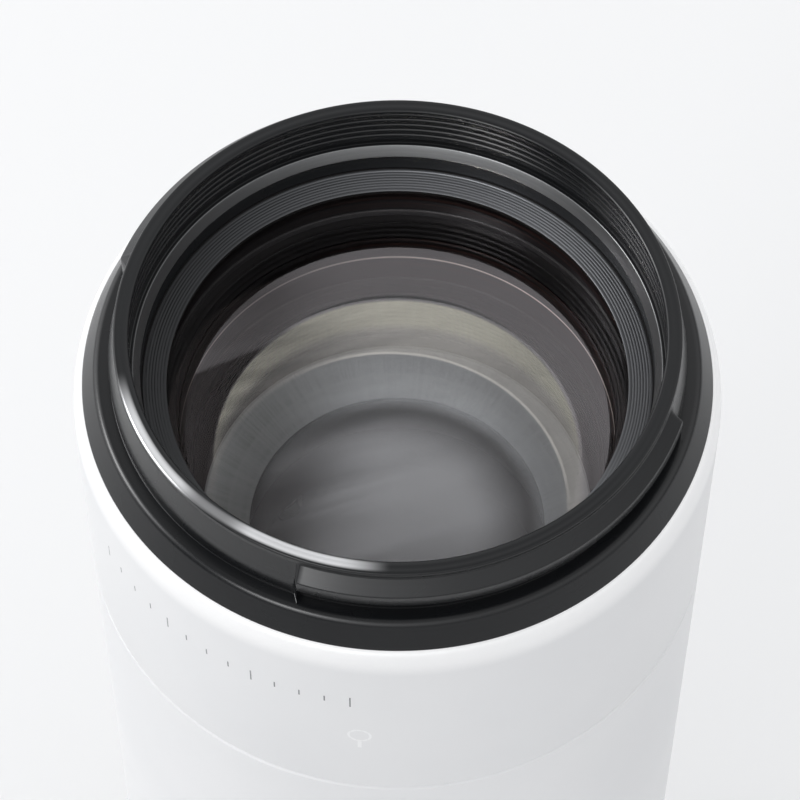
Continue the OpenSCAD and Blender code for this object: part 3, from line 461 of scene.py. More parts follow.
@dataclass(frozen=True)
class BandedWall(Finish):
    """A dark wall with faint rings of another colour, painted in only at the right where light falls, and a light
    line of painted reflection.
    """

    band: float = 900.0
    band_span: Span = (0.45, 0.75)
    wander: float = 3.0
    relief_depth: float = 0.00003
    duller: float = 0.15
    right: Span = (0.8, 0.6)
    right_reach: float = 0.034
    line_z: float = 0.0
    line_width: float = 0.0003
    line_left: float = 0.35
    line_colour: Colour = (0.95, 0.82, 0.78)

    def paint(self, graph: Graph) -> bpy.types.Material:
        """Fills a graph with the finish.

        Args:
            graph: The empty graph.

        Returns:
            The finished material.
        """
        x, y, z = graph.parts(graph.place())
        rings = graph.noise(graph.vector(x * self.wander, y * self.wander, z * self.band), 1.0, 2.0, 0.6)
        # Painted light: the rings and the line show more towards the right.
        right = (x * self.right[0] + y * self.right[1]).ramp(0.0, self.right_reach)
        tone = graph.blend(rings.ramp(*self.band_span) * right, self.colour, self.drift)
        # One light line round the wall, a painted reflection.
        if self.line_z:
            on_line = (z - self.line_z).squared().ramp(0.0, self.line_width ** 2, 1.0, 0.0)
            strength = self.line_left + right * (1.0 - self.line_left)
            tone = graph.blend(on_line * strength, tone, self.line_colour)
        return graph.surface(
            Base_Color=tone, Specular_IOR_Level=self.specular, Normal=graph.relief(rings, self.relief_depth),
            Roughness=rings.ramp(*NOISE_SPAN, self.roughness, self.roughness + self.duller))


@dataclass(frozen=True)
class PaintedReflection:
    """A round patch of painted reflection on a coat, with lengths in millimetres.

    The mirror's strength runs from edge, just inside the patch's border, to deep at a reach further in, and as
    painted shade it is left at the patch's left side and weaker at its right. A line can follow the border, and rays
    can cross the patch.
    """

    x: float
    y: float
    radius: float
    soft: float
    edge: float
    deep: float
    reach: float
    tint: Colour
    left: float = 0.07
    line: float = 0.0
    rays: float = 0.0
    # Painted shade: spans over which the mirror weakens at the patch's left and right sides, and the share kept at
    # the right.
    left_x: Span = (-22.0, 0.0)
    right_x: Span = (9.0, 22.0)
    right: float = 0.78
    line_width: float = 0.3
    line_slope: float = 0.6
    line_y: Span = (-4.0, 10.0)
    ray_count: float = 70.0
    ray_length: float = 40.0

    def cover(self, graph: Graph, x: Wire, y: Wire, alpha: Wire) -> tuple[Wire, Wire]:
        """Lays the patch over a coat.

        Args:
            graph: The coat's graph.
            x: The place's x, in metres.
            y: The place's y, in metres.
            alpha: The coat's strength so far.

        Returns:
            The patch's share and the coat's new strength.
        """
        dx, dy = x - self.x * MM, y - self.y * MM
        reach = (dx.squared() + dy.squared()).root()
        border = self.radius * MM
        share = reach.ramp(border - self.soft * MM, border, 1.0, 0.0)
        inner = reach.ramp(border - self.reach * MM, border, self.deep, self.edge)
        if self.rays:
            rays = graph.noise(graph.vector(dy.atan2(dx) * self.ray_count, reach * self.ray_length, 0.0), 1.0, 3.0)
            inner = inner * (1.0 + (rays - 0.5) * self.rays)
        # Painted shade at the patch's right and left sides.
        inner = inner * x.ramp(*metres(self.right_x), 1.0, self.right)
        inner = self.left + (inner - self.left) * x.ramp(*metres(self.left_x))
        alpha = alpha + share * (inner - alpha)
        if self.line:
            off = (reach - border).squared().ramp(0.0, (self.line_width * MM) ** 2, self.line, 0.0)
            alpha = alpha + off * (y + x * self.line_slope).ramp(*metres(self.line_y))
        return share, alpha


@dataclass(frozen=True)
class CoatedGlass:
    """A clear coated surface, seen as a thin tinted mirror over what lies behind it.

    Lengths are in millimetres. Round patches of painted reflection lie on it, the left is dimmer as painted shade, a
    slanting painted shadow line crosses it at the left, fine streaks vary its strength there, and its low side fades.
    """

    name: str
    tint: Colour
    strength: float
    streak_share: float = 0.0
    # Painted shade: share of the strength that is kept at the left side.
    left: float = 1.0
    painted_reflections: tuple[PaintedReflection, ...] = ()
    low_fade: float = 1.0
    shadow: float = 1.0
    left_x: Span = (-34.0, 0.0)
    low_y: Span = (-29.0, -15.0)
    shadow_slope: float = 0.36
    shadow_y: Span = (11.2, 12.2)
    shadow_x: Span = (-20.0, -8.0)
    streak_x: float = 12.0
    streak_y: float = 150.0
    streak_slant: float = 50.0
    streak_span: Span = (0.32, 0.68)
    streak_fade_x: Span = (-22.0, 8.0)
    streak_right: float = 0.10
    polish_patch: float = 60.0
    polish: Ramp = (0.2, 0.8, 0.0, 0.012)

    def build(self) -> bpy.types.Material:
        """The coat's material, made once and shared.

        Returns:
            The material.
        """
        ready = bpy.data.materials.get(self.name)
        if ready:
            return ready
        graph = Graph(self.name)
        point = graph.place()
        x, y, _ = graph.parts(point)
        tone: Any = self.tint
        # Painted shade: the mirror is weaker towards the left.
        alpha = x.ramp(*metres(self.left_x), self.strength * self.left, self.strength)
        if self.shadow < 1.0:
            lit = (y - x * self.shadow_slope).ramp(*metres(self.shadow_y), self.shadow, 1.0)
            alpha = alpha * (lit + (1.0 - lit) * x.ramp(*metres(self.shadow_x)))
        # Patches of painted reflection, each with its own tint.
        for zone in self.painted_reflections:
            share, alpha = zone.cover(graph, x, y, alpha)
            tone = graph.blend(share, tone, zone.tint)
        # Fine streaks that vary the mirror's strength, most at the left.
        place = graph.vector(x * self.streak_x, y * self.streak_y - x * self.streak_slant, 0.0)
        streaks = graph.noise(place, 1.0, 3.0).ramp(*self.streak_span) - 0.5
        alpha = alpha * (1.0 + streaks * self.streak_share * x.ramp(*metres(self.streak_fade_x), 1.0, self.streak_right))
        alpha = alpha * y.ramp(*metres(self.low_y), self.low_fade, 1.0)
        return graph.surface(Base_Color=tone, Metallic=1.0, Alpha=alpha,
                             Roughness=graph.noise(point, self.polish_patch).ramp(*self.polish))


def metres(span: Span) -> Span:
    """A span in millimetres turned into metres."""
    return span[0] * MM, span[1] * MM


PAINT_WHITE, PAINT_DRIFT = (0.86, 0.863, 0.872), (0.835, 0.84, 0.852)
PAINT_SKIN = {"gloss_drift": 0.06, "grain": 2200.0, "grain_depth": 0.000012, "patch": 25.0}
RIM_BLACK, RIM_DRIFT = (0.0050, 0.0056, 0.0065), (0.0080, 0.0086, 0.0098)
RIM_SKIN = {"lines": 1600.0, "line_depth": 0.000004, "patch": 55.0}
CELL_SHEEN = 0.2
GLASS_EDGE = (0.0035, 0.0026, 0.003)

SATIN_WHITE = Finish("satin_white_paint", PAINT_WHITE, PAINT_DRIFT, 0.40, **PAINT_SKIN)
# The front shell's paint, with a painted highlight over its shoulder.
SHOULDER_HIGHLIGHT_WHITE = ShoulderHighlightFinish("shoulder_white_paint_with_painted_highlight", PAINT_WHITE, PAINT_DRIFT, 0.40, **PAINT_SKIN)
INDEX_WHITE = Finish("index_white_paint", (0.98, 0.98, 0.985), (0.95, 0.955, 0.965), 0.30, 0.04,
                     grain=2600.0, grain_depth=0.000008)
MARK_GREY = Finish("printed_grey", (0.16, 0.16, 0.17), (0.24, 0.24, 0.25), 0.5, grain=3000.0)
RING_BLACK = TurnedFinish("ring_black_anodised", RIM_BLACK, RIM_DRIFT, 0.27, specular=0.45, **RIM_SKIN)
# The rim's top, with a painted highlight along part of its round.
RIM_TOP = PaintedHighlightRim("rim_top_painted_highlight", RIM_BLACK, RIM_DRIFT, 0.30, specular=0.38, **RIM_SKIN)
# The bevel and the retaining ring carry painted shade at their left and right sides.
BEVEL_SATIN = TurnedFinish("bevel_satin", (0.29, 0.295, 0.30), (0.37, 0.375, 0.38), 0.30, metallic=0.7,
                           lines=2600.0, line_depth=0.000008, patch=60.0, left_painted_shade=0.45, right_painted_shade=0.4)
RETAINER_GREY = TurnedFinish("retainer_grey_anodised", (0.185, 0.190, 0.200), (0.215, 0.220, 0.232), 0.40,
                             metallic=0.8, lines=3000.0, line_depth=0.000015, left_painted_shade=0.17, right_painted_shade=0.33)
CELL_BLACK = TurnedFinish("cell_black", (0.004, 0.0035, 0.004), (0.008, 0.007, 0.007), 0.6, lines=1500.0,
                          line_depth=0.00003, specular=CELL_SHEEN)
# Blackened glass edges with faint rings painted in at the right where light falls; the second element's also has a
# painted reflection line.
EDGE_BROWN = BandedWall("blackened_glass_edge", GLASS_EDGE, (0.060, 0.020, 0.014), 0.45, specular=CELL_SHEEN)
EDGE_PAINTED_LINE = BandedWall("glass_edge_painted_line", GLASS_EDGE, (0.050, 0.020, 0.016), 0.45, specular=CELL_SHEEN,
                        line_z=0.28377)
BAFFLE_GREY = TurnedFinish("baffle_satin_grey", (0.16, 0.165, 0.165), (0.23, 0.235, 0.235), 0.45, 0.06,
                           metallic=0.2, lines=900.0, line_depth=0.00003, radial=90.0)
# Coats whose strength carries painted reflections, painted shade and a painted shadow line.
FRONT_COAT = CoatedGlass("front_coat_mauve", (1.0, 0.95, 0.985), 0.102, 0.3, 0.70, (
    PaintedReflection(-0.12, -14.0, 27.66, 0.6, 0.05, 0.05, 5.0, (0.95, 0.97, 1.0), 0.045),), shadow=0.2)
INNER_COAT = CoatedGlass("inner_coat_painted_reflections", (1.0, 0.95, 0.98), 0.004, 1.05, 1.0, (
    PaintedReflection(-0.12, -6.63, 28.39, 0.5, 0.38, 0.38, 5.0, (1.0, 0.96, 0.81), 0.21, 0.14),
    PaintedReflection(-0.03, -12.11, 29.72, 2.2, 0.285, 0.25, 6.0, (1.0, 0.955, 0.89)),
    PaintedReflection(-1.18, -15.75, 27.33, 0.6, 0.13, 0.255, 8.0, (0.935, 0.965, 1.0), 0.02, 0.22, 0.5),
    PaintedReflection(-0.08, -19.53, 22.9, 3.0, 0.03, 0.34, 12.0, (0.965, 0.97, 1.0), 0.075)), low_fade=0.5)
REAR_COAT = CoatedGlass("rear_coat_grey", (0.95, 0.95, 1.0), 0.01)
FAINT_COAT = CoatedGlass("faint_coat_rose", (1.0, 0.82, 0.80), 0.012)
MOULDED_BLACK = Finish("moulded_black", (0.018, 0.018, 0.020), (0.026, 0.026, 0.028), 0.48, 0.06,
                       grain=1900.0, grain_depth=0.00003)
DARK_ALLOY = TurnedFinish("dark_alloy", (0.020, 0.020, 0.022), (0.034, 0.034, 0.036), 0.40, metallic=0.4)
GREY_ALLOY = TurnedFinish("grey_alloy", (0.34, 0.35, 0.36), (0.44, 0.45, 0.46), 0.34, metallic=0.9)
MOUNT_STEEL = TurnedFinish("mount_steel", (0.66, 0.67, 0.68), (0.78, 0.79, 0.80), 0.24, metallic=1.0,
                           lines=3200.0, line_depth=0.000006)
SCREW_STEEL = TurnedFinish("screw_steel", (0.50, 0.51, 0.52), (0.62, 0.63, 0.64), 0.28, metallic=1.0)
RIBBED_RUBBER = Finish("ribbed_rubber", (0.018, 0.018, 0.018), (0.030, 0.030, 0.030), 0.72, 0.08,
                       grain=2400.0, grain_depth=0.00006)
PAD_GOLD = Finish("pad_gold", (0.85, 0.62, 0.26), (0.75, 0.52, 0.20), 0.22, metallic=1.0, grain=4000.0)
BOARD_GREEN = Finish("board_green", (0.02, 0.12, 0.05), (0.03, 0.19, 0.08), 0.35, grain=1200.0)
BLADE_GREY = TurnedFinish("blade_grey", (0.045, 0.045, 0.050), (0.07, 0.07, 0.075), 0.42)
SWITCH_GREY = Finish("switch_grey", (0.16, 0.16, 0.17), (0.21, 0.21, 0.22), 0.42, grain=2100.0)
FLOOR_PALE = Finish("floor_pale", (0.82, 0.822, 0.826), (0.815, 0.818, 0.823), 0.9, 0.02, grain=300.0,
                    grain_depth=0.00001, patch=3.0)

SLOT_FINISH = {
    "white_paint": SATIN_WHITE, "black_anodised": RING_BLACK, "grey_ring": RETAINER_GREY,
    "coated_glass": FAINT_COAT, "black_polymer": MOULDED_BLACK, "black_alloy": DARK_ALLOY,
    "grey_alloy": GREY_ALLOY, "bright_mount": MOUNT_STEEL, "screw_steel": SCREW_STEEL,
    "black_rubber": RIBBED_RUBBER, "gold_contacts": PAD_GOLD, "green_board": BOARD_GREEN,
    "blade_polymer": BLADE_GREY, "grey_switch": SWITCH_GREY,
}


# Modelling steps that the sub-assemblies share


class Bench:
    """The edit-mode steps by which every new piece is shaped."""

    @staticmethod
    def clear() -> None:
        """Deselects everything."""
        bpy.ops.object.select_all(action="DESELECT")

    @staticmethod
    def pick(piece: Piece) -> None:
        """Makes one piece the only selected and active one.

        Args:
            piece: The piece.
        """
        Bench.clear()
        piece.select_set(True)
        bpy.context.view_layer.objects.active = piece

    @staticmethod
    def edit(piece: Piece, kind: str) -> None:
        """Enters edit mode with nothing selected.

        Args:
            piece: The piece.
            kind: What is selected next: VERT, EDGE or FACE.
        """
        Bench.pick(piece)
        bpy.ops.object.mode_set(mode="EDIT")
        bpy.ops.mesh.select_mode(type=kind)
        bpy.ops.mesh.select_all(action="DESELECT")

    @staticmethod
    def weld() -> None:
        """Merges doubles all over and leaves everything selected."""
        bpy.ops.mesh.select_all(action="SELECT")
        bpy.ops.mesh.remove_doubles(threshold=WELD)
        bpy.ops.mesh.select_all(action="SELECT")

    @staticmethod
    def close() -> None:
        """Merges doubles, turns faces outwards and leaves edit mode."""
        Bench.weld()
        bpy.ops.mesh.normals_make_consistent(inside=False)
        bpy.ops.object.mode_set(mode="OBJECT")

    @staticmethod
    def drawn(name: str, corners: Sequence[Sequence[float]]) -> Piece:
        """Draws a closed line through corners and stays in edit mode with all of it selected.

        Args:
            name: The new piece's name.
            corners: Its corners in X, Y and Z, in millimetres.

        Returns:
            The new piece.
        """
        Bench.clear()
        bpy.ops.mesh.primitive_plane_add(size=MM)
        piece = bpy.context.object
        piece.name = piece.data.name = name
        bpy.ops.object.mode_set(mode="EDIT")
        bpy.ops.mesh.select_mode(type="VERT")
        bpy.ops.mesh.select_all(action="SELECT")
        bpy.ops.mesh.merge(type="CENTER")
        at = corners[0]
        bpy.ops.transform.translate(value=[part * MM for part in at])
        for corner in [*corners[1:], corners[0]]:
            step = [(new - old) * MM for old, new in zip(at, corner)]
            bpy.ops.mesh.extrude_region_move(TRANSFORM_OT_translate={"value": step})
            at = corner
        Bench.weld()
        return piece

    @staticmethod
    def turned(name: str, outline: Sequence[Span], steps: int = 360, edge: float = 0.12,
               segments: int = 2, smooth: float = 40.0) -> Piece:
        """Turns a closed outline round the optical axis.

        Args:
            name: The piece's name.
            outline: Corners as radius and height, in millimetres.
            steps: Steps round the axis.
            edge: Width of the small bevel on its corners, in millimetres; 0 for none.
            segments: Segments of that bevel.
            smooth: Angle under which faces shade as one, in degrees.

        Returns:
            The closed piece.
        """
        piece = Bench.drawn(name, [(r, 0.0, z) for r, z in outline])
        bpy.ops.mesh.spin(steps=steps, angle=2 * math.pi, center=(0, 0, 0), axis=(0, 0, 1),
                          dupli=False, use_auto_merge=True)
        Bench.close()
        if edge:
            Bench.bevel(piece, edge, segments)
        Bench.smooth(piece, smooth)
        return piece

    @staticmethod
    def slab(name: str, outline: Sequence[Span], low: float, high: float) -> Piece:
        """A straight piece between two heights with a closed outline in X and Y, in millimetres.

        Args:
            name: The piece's name.
            outline: Its corners.
            low: Its lower height.
            high: Its upper height.

        Returns:
            The closed piece.
        """
        piece = Bench.drawn(name, [(x, y, low) for x, y in outline])
        bpy.ops.mesh.edge_face_add()
        bpy.ops.mesh.extrude_region_move(TRANSFORM_OT_translate={"value": (0.0, 0.0, (high - low) * MM)})
        Bench.close()
        Bench.smooth(piece)
        return piece

    @staticmethod
    def box(name: str, low: Sequence[float], high: Sequence[float], edge: float = 0.0) -> Piece:
        """A block between two corners in millimetres.

        Args:
            name: The piece's name.
            low: Its lowest corner.
            high: Its highest corner.
            edge: Radius of its edges; 0 for sharp ones.

        Returns:
            The block.
        """
        Bench.clear()
        middle = [(a + b) / 2 * MM for a, b in zip(low, high)]
        bpy.ops.mesh.primitive_cube_add(size=1.0, location=middle,
                                        scale=[(b - a) * MM for a, b in zip(low, high)])
        bpy.ops.object.transform_apply(location=True, rotation=True, scale=True)
        piece = bpy.context.object
        piece.name = piece.data.name = name
        if edge:
            Bench.bevel(piece, edge)
            Bench.smooth(piece)
        return piece

    @staticmethod
    def rod(radius: float, length: float, matrix: Matrix, vertices: int) -> Piece:
        """A plain cylinder.

        Args:
            radius: Its radius, in millimetres.
            length: Its length, in millimetres.
            matrix: Place of its middle, with Z along it.
            vertices: Corners round it.

        Returns:
            The cylinder.
        """
        Bench.clear()
        bpy.ops.mesh.primitive_cylinder_add(vertices=vertices, radius=radius * MM, depth=length * MM)
        return Bench.lay(bpy.context.object, matrix)

    @staticmethod
    def apply(piece: Piece, kind: str, **settings: Any) -> None:
        """Adds a modifier and applies it.

        Args:
            piece: The piece.
            kind: The modifier's type.
            **settings: Its settings.
        """
        Bench.pick(piece)
        modifier = piece.modifiers.new(kind.lower(), kind)
        for key, value in settings.items():
            setattr(modifier, key, value)
        bpy.ops.object.modifier_apply(modifier=modifier.name)

    @staticmethod
    def bevel(piece: Piece, width: float, segments: int = 2, angle: float = 25.0) -> None:
        """Rounds a piece's corners by a width in millimetres.

        Args:
            piece: The piece.
            width: Width of the bevel.
            segments: Segments across it.
            angle: Angle above which an edge counts as a corner, in degrees.
        """
        Bench.apply(piece, "BEVEL", width=width * MM, segments=segments, limit_method="ANGLE",
                    angle_limit=math.radians(angle))

    @staticmethod
    def smooth(piece: Piece, angle: float = 40.0) -> None:
        """Shades faces under an angle in degrees as one."""
        Bench.pick(piece)
        bpy.ops.object.shade_smooth_by_angle(angle=math.radians(angle))

    @staticmethod
    def eased(piece: Piece, width: float, segments: int = 2, angle: float = 30.0, smooth: float = 35.0) -> None:
        """Rounds a shaped piece's corners and smooths its shading.

        Args:
            piece: The piece.
            width: Width of the bevel, in millimetres.
            segments: Segments across it.
            angle: Angle above which an edge counts as a corner, in degrees.
            smooth: Angle under which faces shade as one, in degrees.
        """
        Bench.bevel(piece, width, segments, angle)
        Bench.smooth(piece, smooth)

    @staticmethod
    def choose(piece: Piece, test: FaceTest) -> int:
        """Enters edit mode with only the faces selected that a test picks.

        Args:
            piece: The piece.
            test: Takes a face's centre and normal, in metres.

        Returns:
            How many faces were picked.
        """
        Bench.edit(piece, "FACE")
        mesh = bmesh.from_edit_mesh(piece.data)
        count = 0
        for face in mesh.faces:
            if test(face.calc_center_median(), face.normal):
                face.select_set(True)
                count += 1
        mesh.select_flush_mode()
        bmesh.update_edit_mesh(piece.data)
        return count

    @staticmethod
    def sink(piece: Piece, test: FaceTest, share: float) -> None:
        """Extrudes picked faces towards or away from the Z axis.

        Args:
            piece: The piece.
            test: Picks the faces.
            share: New radius as a share of the old.
        """
        if Bench.choose(piece, test):
            bpy.ops.mesh.extrude_region_move(TRANSFORM_OT_translate={"value": (0.0, 0.0, 0.0)})
            bpy.ops.transform.resize(value=(share, share, 1.0), center_override=(0.0, 0.0, 0.0))
        Bench.close()

    @staticmethod
    def shift_points(piece: Piece, test: Callable[[Vector], bool], share: float, rise: float) -> None:
        """Moves picked points towards the Z axis and along it.

        Args:
            piece: The piece.
            test: Picks the points.
            share: New radius as a share of the old.
            rise: How far they rise, in millimetres.
        """
        Bench.edit(piece, "VERT")
        mesh = bmesh.from_edit_mesh(piece.data)
        for point in mesh.verts:
            point.select_set(test(point.co))
        mesh.select_flush_mode()
        bmesh.update_edit_mesh(piece.data)
        bpy.ops.transform.resize(value=(share, share, 1.0), center_override=(0.0, 0.0, 0.0))
        bpy.ops.transform.translate(value=(0.0, 0.0, rise * MM))
        Bench.close()

    @staticmethod
    def ribbed(name: str, outline: Sequence[Span], ribs: int, depth: float,
               low: float, high: float, edge: float = 0.15) -> Piece:
        """A turned ring or knob with grooves sunk between its ribs.

        Args:
            name: The piece's name.
            outline: Corners as radius and height, in millimetres.
            ribs: Number of ribs round it.
            depth: Depth of the grooves.
            low: Height where the grooves start.
            high: Height where they end.
            edge: Width of the bevel on its corners.

        Returns:
            The ribbed piece.
        """
        steps, rib_share, wall = 6, 0.66, 0.1
        top = max(r for r, _ in outline)
        piece = Bench.turned(name, outline, ribs * steps, 0.0)

        def in_groove(centre: Vector, normal: Vector) -> bool:
            """Whether a face lies on the outer wall between two ribs."""
            share = azimuth_of(centre) * ribs / 360.0 % 1.0
            return share > rib_share and low * MM < centre.z < high * MM and reach_of(centre) > top - wall

        Bench.sink(piece, in_groove, (top - depth) / top)
        Bench.eased(piece, edge, 2, 40, 40)
        return piece

    @staticmethod
    def merge(piece: Piece, other: Piece) -> None:
        """Unites one piece with another, which is then removed."""
        Bench.apply(piece, "BOOLEAN", operation="UNION", solver="EXACT", object=other)
        bpy.data.objects.remove(other)

    @staticmethod
    def cut(piece: Piece, tool: Piece) -> None:
        """Cuts one piece with another, which is then removed."""
        Bench.apply(piece, "BOOLEAN", operation="DIFFERENCE", solver="EXACT", object=tool)
        bpy.data.objects.remove(tool)

    @staticmethod
    def drill(piece: Piece, radius: float, depth: float, matrix: Matrix, vertices: int = 64) -> None:
        """Cuts a round hole with a rod whose middle is at its place, with lengths in millimetres."""
        Bench.cut(piece, Bench.rod(radius, depth, matrix, vertices))

    @staticmethod
    def lay(piece: Piece, matrix: Matrix) -> Piece:
        """Puts a piece in place and leaves its object at the origin.

        Args:
            piece: The piece.
            matrix: Where its own origin and axes go.

        Returns:
            The same piece.
        """
        Bench.pick(piece)
        piece.matrix_world = matrix
        bpy.ops.object.transform_apply(location=True, rotation=True, scale=True)
        return piece

    @staticmethod
    def copy(piece: Piece, name: str, matrix: Matrix) -> Piece:
        """A copy of a piece with its own mesh.

        Args:
            piece: The piece to copy.
            name: The copy's name.
            matrix: Where it goes, from the piece's place.

        Returns:
            The copy.
        """
        Bench.pick(piece)
        bpy.ops.object.duplicate(linked=False)
        made = bpy.context.object
        made.name = made.data.name = name
        return Bench.lay(made, matrix)

    @staticmethod
    def join(name: str, pieces: Sequence[Piece]) -> Piece:
        """Joins pieces into one object.

        Args:
            name: The joined piece's name.
            pieces: The pieces; the first one stays.

        Returns:
            The joined piece.
        """
        Bench.clear()
        for piece in pieces:
            piece.select_set(True)
        bpy.context.view_layer.objects.active = pieces[0]
        bpy.ops.object.join()
        pieces[0].name = pieces[0].data.name = name
        return pieces[0]


SIDEWAYS = Matrix.Rotation(math.pi / 2, 4, "Y")


def dress(piece: Piece, *finishes: Any) -> None:
    """Gives a piece its finishes, one for each material slot.

    Args:
        piece: The piece.
        *finishes: The finishes; the first one covers it until faces are given another.
    """
    piece.data.materials.clear()
    for finish in finishes:
        piece.data.materials.append(finish.build())


def mount(piece: Piece, body: str, slot: str, *nodes: str) -> None:
    """Attaches a piece to its body, in its slot's finish unless it is dressed already, hides the CAD nodes and logs
    it.

    Args:
        piece: The piece.
        body: The body that it rides on.
        slot: The record's material slot.
        *nodes: CAD nodes that it stands for.
    """
    if not any(piece.data.materials):
        dress(piece, SLOT_FINISH[slot])
    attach(piece, body)
    if nodes:
        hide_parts(*nodes)
    log.info("%s: %d faces on %s", piece.name, len(piece.data.polygons), body)


def spot(azimuth: float, radius: float = 0.0, z: float = 0.0) -> Matrix:
    """A frame at an azimuth whose X axis points outwards, with lengths in millimetres."""
    turn = Matrix.Rotation(math.radians(azimuth), 4, "Z")
    return turn @ Matrix.Translation((radius * MM, 0.0, z * MM))


def within(azimuth: float, start: float, span: float) -> bool:
    """Whether an azimuth lies in a sector, in degrees."""
    return (azimuth - start) % 360.0 <= span


def azimuth_of(point: Vector) -> float:
    """The azimuth of a point, in degrees."""
    return math.degrees(math.atan2(point.y, point.x)) % 360.0


def reach_of(point: Vector) -> float:
    """The distance of a point in metres from the axis, in millimetres."""
    return math.hypot(point.x, point.y) / MM


def arc(start_r: float, end_r: float, count: int, height: Callable[[float], float]) -> Outline:
    """Points on a curved surface between two radii.

    Args:
        start_r: First radius.
        end_r: Last radius.
        count: Steps between them.
        height: Height of the surface at a radius.

    Returns:
        The points.
    """
    radii = [start_r + (end_r - start_r) * i / count for i in range(count + 1)]
    return [(r, height(r)) for r in radii]


def rounded(start: Span, corner: Span, end: Span, steps: int) -> Outline:
    """Points of a curve that rounds a corner between two points.

    Args:
        start: Where the curve starts.
        corner: The corner that it rounds.
        end: Where it ends.
        steps: Steps along it.

    Returns:
        The points, both ends included.
    """
    points = []
    for i in range(steps + 1):
        t = i / steps
        points.append(tuple((1 - t) ** 2 * a + 2 * t * (1 - t) * b + t * t * c
                            for a, b, c in zip(start, corner, end)))
    return points


def dome(vertex: float, curve: float) -> Callable[[float], float]:
    """Height of a spherical surface that falls from its vertex (rises for a negative curve)."""
    return lambda r: vertex - math.copysign(abs(curve) - math.sqrt(curve * curve - r * r), curve)


def both_ends(low: float, high: float, profile: Sequence[Span]) -> Outline:
    """An outline whose two ends are alike.

    Args:
        low: Height of its lower end.
        high: Height of its upper end.
        profile: Radius and distance from the end of one end's corners, from the inside outwards.

    Returns:
        The corners of the lower end and then those of the upper one.
    """
    return [(r, low + up) for r, up in profile] + [(r, high - up) for r, up in reversed(profile)]


# Sub-assemblies

EDGE_Z = 301.77  # The white barrel's front edge, from which the heights at the front count.
BUTTON_Z = 178.0
BUTTON_AZIMUTHS = (45, 135, 225, 315)
PANEL_Z = (32.6, 65.6)
PANEL_HALF_W = 14.0


